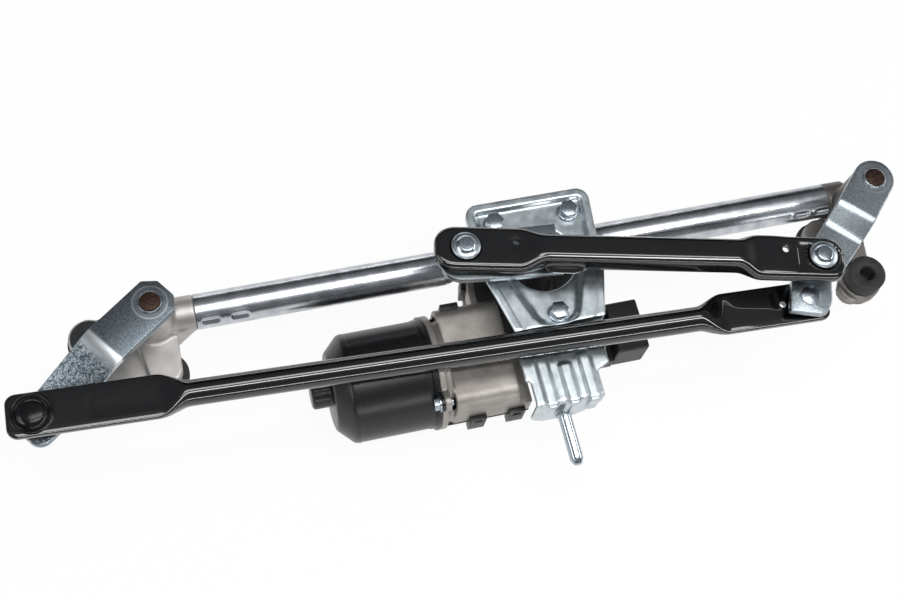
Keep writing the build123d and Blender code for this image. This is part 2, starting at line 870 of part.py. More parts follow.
def closed_liner(x, y, way):
    """A cap over the ball, open on the side that the ball's neck comes from"""
    centre = tandem_ball_level
    mouth_height = socket_half_height - 0.4
    mouth = sqrt(cup_radius**2 - mouth_height**2)
    cap = centre + way * (cup_radius + dome_wall)
    plate_foot = tandem_plate_top - tandem_plate_thickness
    near, far = (tandem_plate_top, plate_foot) if way > 0 else (plate_foot, tandem_plate_top)
    with BuildSketch(upright(x, y)) as profile:
        with BuildLine():
            ThreePointArc(
                (0, centre + way * cup_radius),
                (cup_radius * cos(radians(45)), centre + way * cup_radius * sin(radians(45))),
                (cup_radius, centre),
            )
            ThreePointArc(
                (cup_radius, centre),
                (cup_radius * cos(radians(15)), centre - way * cup_radius * sin(radians(15))),
                (mouth, centre - way * mouth_height),
            )
            Polyline(
                (mouth, centre - way * mouth_height),
                (liner_radius, centre - way * mouth_height),
                (liner_radius, far),
                (liner_radius, near),
                (liner_rim, near),
                (liner_rim, near + way * rim_thickness),
                (liner_radius - 0.5, near + way * (rim_thickness + 0.3)),
                (liner_radius - 3.0, cap - way * 0.4),
                (liner_radius - 5.0, cap),
                (0, cap),
                (0, centre + way * cup_radius),
            )
        make_face()
    revolve(profile.sketch, axis=Axis((x, y, 0), (0, 0, 1)))


with BuildPart() as drive_link_sockets:
    open_liner(*motor_ball)
    open_liner(*drive_ball)
drive_link_sockets.part.label = "drive_link_sockets"
export_step(drive_link_sockets.part, "parts/drive_link_sockets.step")

with BuildPart() as left_tandem_socket:
    closed_liner(*left_tandem_ball, 1)
left_tandem_socket.part.label = "left_tandem_socket"
export_step(left_tandem_socket.part, "parts/left_tandem_socket.step")

with BuildPart() as right_tandem_socket:
    closed_liner(*right_tandem_ball, -1)
right_tandem_socket.part.label = "right_tandem_socket"
export_step(right_tandem_socket.part, "parts/right_tandem_socket.step")

# Drive link: pressed steel channel with a flat plate at each end, joggled down from the channel
drive_plane = Plane(
    origin=(*motor_ball, 0),
    x_dir=(cos(radians(drive_angle)), sin(radians(drive_angle)), 0),
    z_dir=(0, 0, 1),
)
channel_top = drive_ball_level + 4.0
channel_foot = drive_ball_level - 5.0
channel_shift = 1.5
channel_crown = 5.0
channel_spread = 8.5
plate_half = 13.0
plate_lip = 1.2


def link_section(s, shift, crown, spread, top, foot):
    """An open channel section across the drive link, at s along it"""
    place = Plane(
        origin=drive_plane.from_local_coords(Vector(s, 0, 0)),
        x_dir=drive_plane.y_dir,
        z_dir=drive_plane.x_dir,
    )
    inner_crown = crown - link_sheet * 0.45
    inner_spread = spread - link_sheet
    with BuildSketch(place) as section:
        with BuildLine():
            Polyline(
                (shift - spread, foot),
                (shift - crown, top),
                (shift + crown, top),
                (shift + spread, foot),
                (shift + inner_spread, foot),
                (shift + inner_crown, top - link_sheet),
                (shift - inner_crown, top - link_sheet),
                (shift - inner_spread, foot),
                close=True,
            )
        make_face()
    return section.sketch


plate_foot = drive_plate_top - link_sheet - plate_lip
plate_section = (0.0, plate_half - 0.7, plate_half, drive_plate_top, plate_foot)
channel_section = (channel_shift, channel_crown, channel_spread, channel_top, channel_foot)
left_plate_end = 32.0
left_channel_start = 46.0
right_channel_end = drive_length - 50.0
right_plate_start = drive_length - 38.0
plate_overhang = 16.5
hole_offset = 19.0

link_stations = [
    (-plate_overhang, plate_section),
    (left_plate_end, plate_section),
    (left_channel_start, channel_section),
    (right_channel_end, channel_section),
    (right_plate_start, plate_section),
    (drive_length + plate_overhang, plate_section),
]

with BuildPart() as drive_link:
    for (start, near_form), (end, far_form) in zip(link_stations, link_stations[1:]):
        loft([link_section(start, *near_form), link_section(end, *far_form)], ruled=True)
    with BuildSketch(drive_plane.offset(channel_foot)) as outline:
        with Locations((drive_length / 2, 0)):
            Rectangle(drive_length + 2 * plate_overhang, 2 * plate_half)
        fillet(outline.vertices(), plate_half - 3)
    extrude(outline.sketch, amount=channel_top - channel_foot, mode=Mode.INTERSECT)
    with BuildSketch(drive_plane.offset(channel_foot)) as holes:
        with Locations((0, 0), (drive_length, 0)):
            Circle(liner_radius)
        with Locations((left_plate_end - 3, 3.5), (drive_length - 22, 3.5)):
            Circle(1.9)
    extrude(holes.sketch, amount=channel_top - channel_foot, mode=Mode.SUBTRACT)
    with BuildSketch(drive_plane.offset(plate_foot)) as room:
        with Locations((0, 0), (drive_length, 0)):
            Circle(liner_rim + 0.2)
    extrude(room.sketch, amount=plate_lip, mode=Mode.SUBTRACT)
drive_link.part.label = "drive_link"
export_step(drive_link.part, "parts/drive_link.step")

# Tandem link: steel tube pressed flat at both ends, with a swept shoulder between
tandem_plane = Plane(
    origin=(*left_tandem_ball, 0),
    x_dir=(cos(radians(tandem_angle)), sin(radians(tandem_angle)), 0),
    z_dir=(0, 0, 1),
)
rod_radius = 7.4
rod_wall = 1.3
rod_level = tandem_ball_level + 2.0
blade_half = 12.6
left_blade_end = 70.0
left_rod_start = 82.0
right_rod_end = tandem_length - 66.0
right_blade_start = tandem_length - 51.0
blade_overhang = 14.0
blade_level = tandem_plate_top - tandem_plate_thickness / 2


def rod_section(s, half_width, half_height, level):
    """An oval section across the tandem link, at s along it"""
    place = Plane(
        origin=tandem_plane.from_local_coords(Vector(s, 0, level)),
        x_dir=tandem_plane.y_dir,
        z_dir=tandem_plane.x_dir,
    )
    corner = min(half_width, half_height) * 0.96
    with BuildSketch(place) as section:
        RectangleRounded(2 * half_width, 2 * half_height, corner)
    return section.sketch


blade = (blade_half, tandem_plate_thickness / 2, blade_level)
rod = (rod_radius, rod_radius, rod_level)
with BuildPart() as tandem_link:
    loft([rod_section(-blade_overhang, *blade), rod_section(left_blade_end, *blade)], ruled=True)
    loft([rod_section(left_blade_end, *blade), rod_section(left_rod_start, *rod)], ruled=True)
    loft([rod_section(left_rod_start, *rod), rod_section(right_rod_end, *rod)], ruled=True)
    loft([rod_section(right_rod_end, *rod), rod_section(right_blade_start, *blade)], ruled=True)
    loft(
        [rod_section(right_blade_start, *blade), rod_section(tandem_length + blade_overhang, *blade)],
        ruled=True,
    )
    loft(
        [
            rod_section(left_rod_start, rod_radius - rod_wall, rod_radius - rod_wall, rod_level),
            rod_section(right_rod_end, rod_radius - rod_wall, rod_radius - rod_wall, rod_level),
        ],
        ruled=True,
        mode=Mode.SUBTRACT,
    )
    with BuildSketch(tandem_plane.offset(plate_top - 20)) as outline:
        with Locations((tandem_length / 2, 0)):
            Rectangle(tandem_length + 2 * blade_overhang, 2 * blade_half + 1)
        chamfer(outline.vertices(), 5.0)
    extrude(outline.sketch, amount=40, mode=Mode.INTERSECT)
    with BuildSketch(tandem_plane.offset(plate_top - 20)) as holes:
        with Locations((0, 0), (tandem_length, 0)):
            Circle(liner_radius)
        with Locations((tandem_length - 14.2, 0)):
            Circle(1.9)
    extrude(holes.sketch, amount=40, mode=Mode.SUBTRACT)
tandem_link.part.label = "tandem_link"
export_step(tandem_link.part, "parts/tandem_link.step")

# Motor bracket: pressed steel plate with a raised rim, welded to the tube by two saddle tabs,
# and joggled down to a ribbed flange that carries the locating pin
plate_left = motor_x - 38.5
plate_right = motor_x + 38.5
plate_back = motor_y + 41.0
plate_front = motor_y - 42.3
flange_left = motor_x - 26.2
flange_right = motor_x + 25.8
flange_step = motor_y - 67.5
lip_left = motor_x - 23.4
lip_right = motor_x + 17.8
joggle_run = 4.7
joggle_tail = 8.0
bend_radius = 2.0
joggle_drop = plate_top - flange_top
bend_back = sheet * joggle_drop / (hypot(joggle_run, joggle_drop) + joggle_run)
lip_face = flange_end - 1.5
rib_offsets = [-14.4, -1.2, 11.2]
rib_starts = [-53.0, -60.0, -55.0]
rib_half = 3.6
rib_ramp = 2.5
bracket_outline = [
    (plate_left, plate_back),
    (plate_right + 0.5, plate_back),
    (plate_right - 4.5, motor_y - 14.0),
    (flange_right - 1.5, plate_front - joggle_tail),
    (flange_left, plate_front - joggle_tail),
    (plate_left, motor_y - 1.0),
]
bolt_places = [polar(motor_x, motor_y, bolt_circle, angle) for angle in bolt_angles]


def side_plane(x):
    """A plane across the bracket at x: its x along the object's Y, its y upwards"""
    return Plane(origin=(x, 0, 0), x_dir=(0, 1, 0), z_dir=(1, 0, 0))


with BuildPart() as motor_bracket:
    plate_face = flat_outline(Plane.XY.offset(plate_top - sheet), bracket_outline, 8.0)
    extrude(plate_face, amount=sheet + rim_height)
    pan_face = offset(plate_face, amount=-rim_width, mode=Mode.PRIVATE)
    extrude(pan_face.moved(Location((0, 0, sheet))), amount=rim_height, taper=-40, mode=Mode.SUBTRACT)
    rim_room = offset(plate_face, amount=-sheet, mode=Mode.PRIVATE) - offset(
        plate_face, amount=-rim_width + 0.2, mode=Mode.PRIVATE
    )
    extrude(rim_room, amount=rim_height, mode=Mode.SUBTRACT)
    with BuildSketch(Plane.XY.offset(plate_top - sheet)) as front:
        with Locations((motor_x, plate_front - 30)):
            Rectangle(200, 60)
    extrude(front.sketch, amount=sheet + rim_height, mode=Mode.SUBTRACT)
    with BuildPart(mode=Mode.PRIVATE) as flange:
        with BuildSketch(side_plane(flange_left)) as profile:
            with BuildLine():
                Polyline(
                    (plate_front + 2 * sheet, plate_top),
                    (plate_front, plate_top),
                    (plate_front - joggle_run, flange_top),
                    (lip_face, flange_top),
                    (lip_face, lip_bottom),
                    (lip_face + sheet, lip_bottom),
                    (lip_face + sheet, flange_top - sheet),
                    (plate_front - joggle_run + bend_back, flange_top - sheet),
                    (plate_front + bend_back, plate_top - sheet),
                    (plate_front + 2 * sheet, plate_top - sheet),
                    close=True,
                )
            make_face()
            bends = profile.vertices().filter_by(
                lambda corner: lip_bottom + 1 < corner.Y and corner.X < plate_front + bend_back + 0.1
            )
            fillet(bends, bend_radius)
        extrude(profile.sketch, amount=flange_right - flange_left)
        for rib_offset, rib_start in zip(rib_offsets, rib_starts):
            with BuildPart(mode=Mode.PRIVATE) as rib:
                with BuildSketch(side_plane(motor_x + rib_offset - rib_half)) as rib_side:
                    with BuildLine():
                        Polyline(
                            (motor_y + rib_start, flange_top - sheet / 2),
                            (motor_y + rib_start - rib_ramp, flange_top + rib_height),
                            (lip_face - rib_height + 2, flange_top + rib_height),
                            (lip_face - rib_height, flange_top + rib_height - 2),
                            (lip_face - rib_height, lip_bottom + 14.0),
                            (lip_face + sheet / 2, lip_bottom + 10.0),
                            (lip_face + sheet / 2, flange_top - sheet / 2),
                            close=True,
                        )
                    make_face()
                extrude(rib_side.sketch, amount=2 * rib_half)
                chamfer(rib.faces().filter_by(Axis.X).edges(), 1.1)
            add(rib.part)
        with BuildSketch(Plane.XY.offset(lip_bottom - 1)) as trim:
            with BuildLine():
                Polyline(
                    (flange_left, plate_front + sheet),
                    (flange_right, plate_front + sheet),
                    (flange_right, flange_step + 2),
                    (lip_right, flange_step - 2),
                    (lip_right, flange_end - 10),
                    (lip_left, flange_end - 10),
                    (lip_left, flange_step - 1.5),
                    (flange_left, flange_step),
                    close=True,
                )
            make_face()
        extrude(trim.sketch, amount=100, mode=Mode.INTERSECT)
        with BuildSketch(Plane.XZ.offset(-plate_front - 10)) as lip_trim:
            with BuildLine():
                Polyline(
                    (flange_left, plate_top + 10),
                    (flange_right, plate_top + 10),
                    (flange_right, lip_bottom + 18),
                    (lip_right, lip_bottom + 17),
                    (lip_right - 8, lip_bottom + 5),
                    (lip_right - 15, lip_bottom),
                    (lip_left + 8, lip_bottom),
                    (lip_left, lip_bottom + 6),
                    (flange_left, lip_bottom + 6),
                    close=True,
                )
            make_face()
        extrude(lip_trim.sketch, amount=100, mode=Mode.INTERSECT)
    add(flange.part)
    with BuildSketch(Plane.XY.offset(plate_top - sheet)) as holes:
        with Locations((motor_x, motor_y)):
            Circle(bracket_hole_radius)
        with Locations(*bolt_places):
            Circle(bolt_shank + 0.3)
    extrude(holes.sketch, amount=sheet + rim_height, mode=Mode.SUBTRACT)
    with BuildSketch(Plane.XZ.offset(-flange_end - sheet)) as pin_hole:
        with Locations((pin_x, pin_level)):
            Circle(pin_radius - 1)
    extrude(pin_hole.sketch, amount=3 * sheet, mode=Mode.SUBTRACT)
    for tab_x in (plate_left + 0.8, squeeze_end - sheet):
        with BuildSketch(side_plane(tab_x)) as tab:
            with BuildLine():
                Polyline(
                    (tube_y - tab_length / 2, plate_top - sheet),
                    (tube_y + tab_length / 2, plate_top - sheet),
                    (tube_y + tab_length / 2 - 4, tube_level - 3),
                    (tube_y - tab_length / 2 + 4, tube_level - 3),
                    close=True,
                )
            make_face()
            with Locations((tube_y, tube_level)):
                Ellipse(oval_half_width, oval_half_height, mode=Mode.SUBTRACT)
        extrude(tab.sketch, amount=sheet)
motor_bracket.part.label = "motor_bracket"
export_step(motor_bracket.part, "parts/motor_bracket.step")

# Locating pin: turned steel, riveted through the flange's lip
pin_head = 1.5
with BuildPart() as locating_pin:
    with BuildSketch(Plane(origin=(pin_x, 0, pin_level), x_dir=(0, 1, 0), z_dir=(1, 0, 0))) as half:
        with BuildLine():
            Polyline(
                (lip_face + sheet + pin_head, 0),
                (lip_face + sheet + pin_head, pin_radius),
                (lip_face + sheet, pin_radius + 0.8),
                (lip_face + sheet, pin_radius - 1),
                (lip_face, pin_radius - 1),
                (lip_face, pin_radius + 1.2),
                (lip_face - 1.2, pin_radius + 1.2),
                (lip_face - 1.2, pin_radius),
                (lip_face - pin_length + pin_tip, pin_radius),
                (lip_face - pin_length, pin_radius - 1.7),
                (lip_face - pin_length, 0),
                close=True,
            )
        make_face()
    revolve(half.sketch, axis=Axis((pin_x, 0, pin_level), (0, 1, 0)))
locating_pin.part.label = "locating_pin"
export_step(locating_pin.part, "parts/locating_pin.step")

# Bracket bolts: three flanged hexagon bolts into the gearbox posts
bolt_crown = 0.6
with BuildPart() as bracket_bolts:
    for bolt_x, bolt_y in bolt_places:
        with BuildSketch(Plane.XY.offset(plate_top)) as washer_face:
            with Locations((bolt_x, bolt_y)):
                Circle(bolt_flange_radius)
        extrude(washer_face.sketch, amount=bolt_flange_height, taper=25)
        with BuildSketch(Plane.XY.offset(plate_top)) as hexagon:
            with Locations((bolt_x, bolt_y)):
                RegularPolygon(bolt_hex / 2, 6, major_radius=False)
        extrude(hexagon.sketch, amount=bolt_height)
        with BuildSketch(Plane.XY.offset(plate_top)) as shank:
            with Locations((bolt_x, bolt_y)):
                Circle(bolt_shank)
        extrude(shank.sketch, amount=-bolt_length)
    chamfer(bracket_bolts.edges().group_by(Axis.Z)[-1], bolt_crown)
bracket_bolts.part.label = "bracket_bolts"
export_step(bracket_bolts.part, "parts/bracket_bolts.step")


# Motor: a drawn steel yoke, with its flange bolted to the gearbox's bell
def motor_plane_at(x):
    """A plane across the motor at x: its x along the object's Y, its y upwards"""
    return Plane(origin=(x, motor_axis_y, worm_level), x_dir=(0, 1, 0), z_dir=(1, 0, 0))


ear_angles = [138.0, 318.0]
ear_reach = 37.5
ear_round = 5.2
flange_radius = yoke_radius + 1.8
rear_boss = 8.5
rear_boss_length = 11.5
rear_cone_small = 24.0
rear_cone_large = 31.6
cone_start = 1.0
shoulder_length = 14.0
screw_radius = 2.4


def motor_flange(x, thickness, bore):
    """A round flange with two screw ears"""
    with BuildSketch(motor_plane_at(x)) as flange_face:
        Circle(flange_radius)
        for ear_angle in ear_angles:
            with BuildSketch(mode=Mode.PRIVATE) as flange_ear:
                Circle(12)
                with Locations(polar(0, 0, ear_reach, ear_angle)):
                    Circle(ear_round)
                make_hull()
            add(flange_ear.sketch)
        Circle(bore, mode=Mode.SUBTRACT)
        for ear_angle in ear_angles:
            with Locations(polar(0, 0, ear_reach, ear_angle)):
                Circle(screw_radius + 0.1, mode=Mode.SUBTRACT)
    extrude(flange_face.sketch, amount=thickness)


shoulder = yoke_rear + rear_boss_length
cone_end = cone_start + rear_cone_large - rear_cone_small
cone_wall = yoke_wall * 0.7
with BuildPart() as motor_yoke:
    revolve(
        lengthways(
            [
                (yoke_rear, 0),
                (yoke_rear, rear_boss - 1.2),
                (yoke_rear + 1.2, rear_boss),
                (shoulder - 0.8, rear_boss),
                (shoulder, rear_boss + 0.8),
                (shoulder, rear_cone_small - 2.0),
                (shoulder + 0.3, rear_cone_small - 0.9),
                (shoulder + cone_start, rear_cone_small),
                (shoulder + cone_end, rear_cone_large),
                (shoulder + cone_end + 1.1, yoke_radius - 0.2),
                (shoulder + cone_end + 2.4, yoke_radius),
                (yoke_front, yoke_radius),
                (yoke_front, yoke_radius - yoke_wall),
                (shoulder + cone_end + 2.6, yoke_radius - yoke_wall),
                (shoulder + cone_end + cone_wall, rear_cone_large - cone_wall),
                (shoulder + cone_start + cone_wall, rear_cone_small - cone_wall),
                (shoulder + yoke_wall, rear_cone_small - 2.2),
                (shoulder + yoke_wall, rear_boss - yoke_wall),
                (yoke_rear + yoke_wall, rear_boss - yoke_wall),
                (yoke_rear + yoke_wall, 0),
            ]
        ),
        axis=motor_axis,
    )
    motor_flange(yoke_front - 2, 2, yoke_radius - yoke_wall)
motor_yoke.part.label = "motor_yoke"
export_step(motor_yoke.part, "parts/motor_yoke.step")

# Yoke screws: two screws through the yoke's ears
screw_head = 4.3
screw_length = 7.5
with BuildPart() as yoke_screws:
    for ear_angle in ear_angles:
        ear_y, ear_z = polar(0, 0, ear_reach, ear_angle)
        place = Plane(
            origin=(yoke_front - 2, motor_axis_y + ear_y, worm_level + ear_z),
            x_dir=(0, 1, 0),
            z_dir=(1, 0, 0),
        )
        with BuildSketch(place) as shank:
            Circle(screw_radius)
        extrude(shank.sketch, amount=screw_length)
        with BuildSketch(place) as screw_washer:
            Circle(screw_head + 0.6)
        extrude(screw_washer.sketch, amount=-1)
        with BuildSketch(place) as screw_hex:
            RegularPolygon(screw_head - 0.3, 6)
        extrude(screw_hex.sketch, amount=-4)
yoke_screws.part.label = "yoke_screws"
export_step(yoke_screws.part, "parts/yoke_screws.step")

# Magnets: four ferrite shells glued inside the yoke
magnet_outer = yoke_radius - yoke_wall
magnet_inner = magnet_outer - magnet_thickness
magnet_length = core_length + 6
magnet_arc = 72.0
magnet_start = shoulder + shoulder_length
with BuildPart() as magnets:
    for turn in (0, 90, 180, 270):
        side = Plane(
            origin=(0, motor_axis_y, worm_level),
            x_dir=(1, 0, 0),
            z_dir=(0, -cos(radians(turn)), sin(radians(turn))),
        )
        with BuildSketch(side) as shell:
            with BuildLine():
                Polyline(
                    (magnet_start, magnet_inner),
                    (magnet_start + magnet_length, magnet_inner),
                    (magnet_start + magnet_length, magnet_outer),
                    (magnet_start, magnet_outer),
                    close=True,
                )
            make_face()
        revolve(shell.sketch, axis=motor_axis, revolution_arc=magnet_arc)
magnets.part.label = "magnets"
export_step(magnets.part, "parts/magnets.step")

# Armature: laminated core, end windings, commutator and the shaft that ends in the worm
core_radius = magnet_inner - air_gap
core_start = magnet_start + 3
core_end = core_start + core_length
core_slots = 12
winding_length = 7.0
commutator_start = core_end + winding_length + 1.5
commutator_length = 14.0
commutator_radius = 11.0
worm_start = motor_x - 24.0
worm_end = motor_x + 24.0
shaft_end = motor_x + 31.0
bell_bearing_start = bell_end - 7.5
worm_pitch = 4.2
worm_groove = 1.4

with BuildPart() as armature_core:
    with BuildSketch(motor_plane_at(core_start)):
        Circle(core_radius)
        Circle(armature_radius, mode=Mode.SUBTRACT)
        with PolarLocations(core_radius - 4.5, core_slots):
            Rectangle(9.4, 2.2, mode=Mode.SUBTRACT)
        with PolarLocations(core_radius - 7.5, core_slots):
            Rectangle(6.0, 4.6, mode=Mode.SUBTRACT)
    extrude(amount=core_length)
armature_core.part.label = "armature_core"
export_step(armature_core.part, "parts/armature_core.step")

with BuildPart() as armature_windings:
    for start in (core_start - winding_length, core_end):
        with BuildSketch(motor_plane_at(start)) as coil:
            Circle(core_radius - 2.5)
            Circle(armature_radius + 2, mode=Mode.SUBTRACT)
        extrude(coil.sketch, amount=winding_length)
    chamfer(armature_windings.faces().sort_by(Axis.X)[0].outer_wire().edges(), 3.0)
    chamfer(armature_windings.faces().sort_by(Axis.X)[-1].outer_wire().edges(), 3.0)
armature_windings.part.label = "armature_windings"
export_step(armature_windings.part, "parts/armature_windings.step")

with BuildPart() as commutator:
    with BuildSketch(motor_plane_at(commutator_start)):
        Circle(commutator_radius)
        Circle(armature_radius, mode=Mode.SUBTRACT)
        with PolarLocations(commutator_radius, core_slots):
            Rectangle(2.4, 0.6, mode=Mode.SUBTRACT)
    extrude(amount=commutator_length)
commutator.part.label = "commutator"
export_step(commutator.part, "parts/commutator.step")

worm_outline = [(yoke_rear + yoke_wall + 0.4, 0), (yoke_rear + yoke_wall + 0.4, armature_radius)]
worm_outline += [(worm_start - 1.5, armature_radius), (worm_start, worm_radius)]
crest = worm_start
while crest + worm_pitch < worm_end:
    worm_outline += [
        (crest + worm_pitch * 0.35, worm_radius),
        (crest + worm_pitch * 0.5, worm_radius - worm_groove),
        (crest + worm_pitch * 0.75, worm_radius - worm_groove),
        (crest + worm_pitch * 0.9, worm_radius),
    ]
    crest += worm_pitch
worm_outline += [(worm_end, worm_radius), (worm_end + 1.5, armature_radius)]
worm_outline += [(shaft_end - 0.4, armature_radius), (shaft_end - 0.4, 0)]
with BuildPart() as armature_shaft:
    revolve(lengthways(worm_outline), axis=motor_axis)
armature_shaft.part.label = "armature_shaft"
export_step(armature_shaft.part, "parts/armature_shaft.step")


# Armature bearings: sintered bushes in the yoke's boss, the bell's wall and the tunnel's end
def axial_ring(start, length, outer, inner):
    with BuildSketch(motor_plane_at(start)) as section:
        Circle(outer)
        Circle(inner, mode=Mode.SUBTRACT)
    extrude(section.sketch, amount=length)


rear_bearing_length = 8.0
end_bearing_length = 5.0
bearing_radius = 6.8
bearing_bore = armature_radius + spindle_fit
with BuildPart() as armature_bushes:
    axial_ring(yoke_rear + yoke_wall + 0.5, rear_bearing_length, rear_boss - yoke_wall, bearing_bore)
    axial_ring(bell_bearing_start, end_bearing_length, bearing_radius, bearing_bore)
    axial_ring(shaft_end - end_bearing_length, end_bearing_length, bearing_radius, bearing_bore)
armature_bushes.part.label = "armature_bushes"
export_step(armature_bushes.part, "parts/armature_bushes.step")

# Brush card and brushes
card_start = commutator_start + commutator_length + 1.5
card_thickness = 2.0
card_radius = yoke_radius - housing_wall - 0.3
card_half = box_rise - box_roof - 0.3
brush_width = 5.0
brush_reach = 10.0
brush_gap = 0.3
brush_start = commutator_start + 3.0
brush_length = commutator_length - 6.0
box_wall = 1.2
with BuildPart() as brush_card:
    with BuildSketch(motor_plane_at(card_start)):
        Circle(card_radius)
        Rectangle(2 * card_radius, 2 * card_half, mode=Mode.INTERSECT)
        Circle(commutator_radius + 1.5, mode=Mode.SUBTRACT)
    extrude(amount=card_thickness)
    for side in (-1, 1):
        with BuildSketch(motor_plane_at(card_start)):
            with Locations((side * (commutator_radius + 2 + brush_reach / 2), 0)):
                Rectangle(brush_reach, brush_width + 2 * box_wall)
                Rectangle(brush_reach, brush_width, mode=Mode.SUBTRACT)
        extrude(amount=-(card_start - brush_start))
        with BuildSketch(motor_plane_at(brush_start - box_wall)):
            with Locations((side * (commutator_radius + 2 + brush_reach / 2), 0)):
                Rectangle(brush_reach, brush_width + 2 * box_wall)
        extrude(amount=box_wall)
brush_card.part.label = "brush_card"
export_step(brush_card.part, "parts/brush_card.step")

with BuildPart() as brushes:
    for side in (-1, 1):
        with BuildSketch(motor_plane_at(brush_start)):
            with Locations((side * (commutator_radius + brush_gap + brush_reach / 2), 0)):
                Rectangle(brush_reach, brush_width)
        extrude(amount=brush_length)
brushes.part.label = "brushes"
export_step(brushes.part, "parts/brushes.step")

# Gear housing: aluminium casting with the motor's neck, the brush card's box, the worm's tunnel,
# the wheel's bowl, the output boss and three posts up to the bracket
trough_radius = yoke_radius + 0.5
bell_bore = yoke_radius - housing_wall
bell_wall_end = 9.5
neck_radius = yoke_radius - 1.0
neck_end = yoke_front + 8.0
box_half = yoke_radius
box_corner = 8.5
chamber_corner = 5.5
chamber_start = neck_end - box_roof
shaft_room = 0.4
flange_thickness = 4.0
tunnel_radius = 10.5
tunnel_start = bell_end - 8.0
tunnel_end = shaft_end + 4.0
boss_bush = shaft_radius + 1.2
post_top = plate_top - sheet
bowl_floor = floor_top - floor_thickness


def box_section(x, half, rise, corner):
    """A section across the motor at x, from the parting plane up, with rounded upper corners"""
    foot = parting_level - worm_level
    with BuildSketch(motor_plane_at(x)) as section:
        with Locations((0, (rise + foot) / 2)):
            Rectangle(2 * half, rise - foot)
        fillet(section.vertices().group_by(Axis.Y)[-1], corner)
    return section.sketch


with BuildPart() as gear_housing:
    with BuildSketch(motor_plane_at(yoke_front)) as neck:
        Circle(neck_radius)
    extrude(neck.sketch, amount=neck_end - yoke_front)
    extrude(box_section(neck_end, box_half, box_rise, box_corner), amount=bell_end - neck_end)
    with BuildSketch(motor_plane_at(tunnel_start)) as tunnel:
        Circle(tunnel_radius)
    extrude(tunnel.sketch, amount=tunnel_end - tunnel_start)
    block_height = worm_level + tunnel_radius - parting_level
    with BuildSketch(Plane.XY.offset(parting_level)) as block:
        with Locations(((bell_end + block_end) / 2, motor_axis_y + (tunnel_radius - box_half) / 2)):
            Rectangle(block_end - bell_end, box_half + tunnel_radius)
    extrude(block.sketch, amount=block_height)
    room_end = block_end - box_roof
    with BuildSketch(Plane.XY.offset(parting_level)) as block_room:
        with Locations(((bell_end + room_end) / 2, motor_axis_y - (bell_bore + tunnel_radius) / 2)):
            Rectangle(room_end - bell_end, bell_bore - tunnel_radius)
    extrude(block_room.sketch, amount=block_height - box_roof, mode=Mode.SUBTRACT)
    with BuildSketch(motor_plane_at(yoke_front)) as bore:
        Circle(bell_bore)
    extrude(bore.sketch, amount=chamber_start - yoke_front, mode=Mode.SUBTRACT)
    chamber = box_section(chamber_start, bell_bore, box_rise - box_roof, chamber_corner)
    extrude(chamber, amount=bell_end - bell_wall_end - chamber_start, mode=Mode.SUBTRACT)
    with BuildSketch(Plane.XY.offset(parting_level)) as below:
        with Locations(((yoke_front + tunnel_end) / 2, motor_axis_y)):
            Rectangle(tunnel_end - yoke_front + 2, 3 * trough_radius)
    extrude(below.sketch, amount=-2 * trough_radius, mode=Mode.SUBTRACT)
    motor_flange(yoke_front, flange_thickness, bell_bore)
    with BuildSketch(Plane.XY.offset(parting_level)) as bowl:
        with Locations((motor_x, motor_y)):
            Circle(bowl_radius)
    extrude(bowl.sketch, amount=floor_top - parting_level)
    with BuildSketch(Plane.XY.offset(bowl_floor)) as posts:
        with Locations(*bolt_places):
            Circle(post_radius)
    extrude(posts.sketch, amount=post_top - bowl_floor)
    with BuildSketch(Plane.XY.offset(bowl_floor)) as boss:
        with Locations((motor_x, motor_y)):
            Circle(boss_radius)
    extrude(boss.sketch, amount=boss_top - bowl_floor)
    with BuildSketch(Plane.XY.offset(parting_level)) as cavity:
        with Locations((motor_x, motor_y)):
            Circle(bowl_radius - bowl_wall)
    extrude(cavity.sketch, amount=bowl_floor - parting_level, mode=Mode.SUBTRACT)
    with BuildSketch(motor_plane_at(yoke_front)) as shaft_way:
        Circle(armature_radius + shaft_room)
    extrude(shaft_way.sketch, amount=shaft_end - yoke_front, mode=Mode.SUBTRACT)
    with BuildSketch(motor_plane_at(bell_bearing_start)) as seat:
        Circle(bearing_radius)
    extrude(seat.sketch, amount=shaft_end - bell_bearing_start, mode=Mode.SUBTRACT)
    with BuildSketch(Plane.XY.offset(parting_level)) as shaft_bore:
        with Locations((motor_x, motor_y)):
            Circle(boss_bush)
    extrude(shaft_bore.sketch, amount=boss_top - parting_level, mode=Mode.SUBTRACT)
    with BuildSketch(Plane.XY.offset(post_top)) as threads:
        with Locations(*bolt_places):
            Circle(bolt_shank)
    extrude(threads.sketch, amount=-bolt_length, mode=Mode.SUBTRACT)
gear_housing.part.label = "gear_housing"
export_step(gear_housing.part, "parts/gear_housing.step")

# Output bush and rubber cap round the output boss
cap_lip = 2.0
with BuildPart() as output_bush:
    ring(motor_x, motor_y, bowl_floor, boss_top - bowl_floor, boss_bush, shaft_radius + spindle_fit)
output_bush.part.label = "output_bush"
export_step(output_bush.part, "parts/output_bush.step")

with BuildPart() as shaft_cap:
    cap_foot = floor_top + cap_thickness
    ring(motor_x, motor_y, cap_foot, boss_top - cap_foot, boss_radius + 0.9, boss_radius)
    ring(motor_x, motor_y, boss_top, cap_lip, boss_radius + 0.9, shaft_radius + 0.1)
shaft_cap.part.label = "shaft_cap"
export_step(shaft_cap.part, "parts/shaft_cap.step")

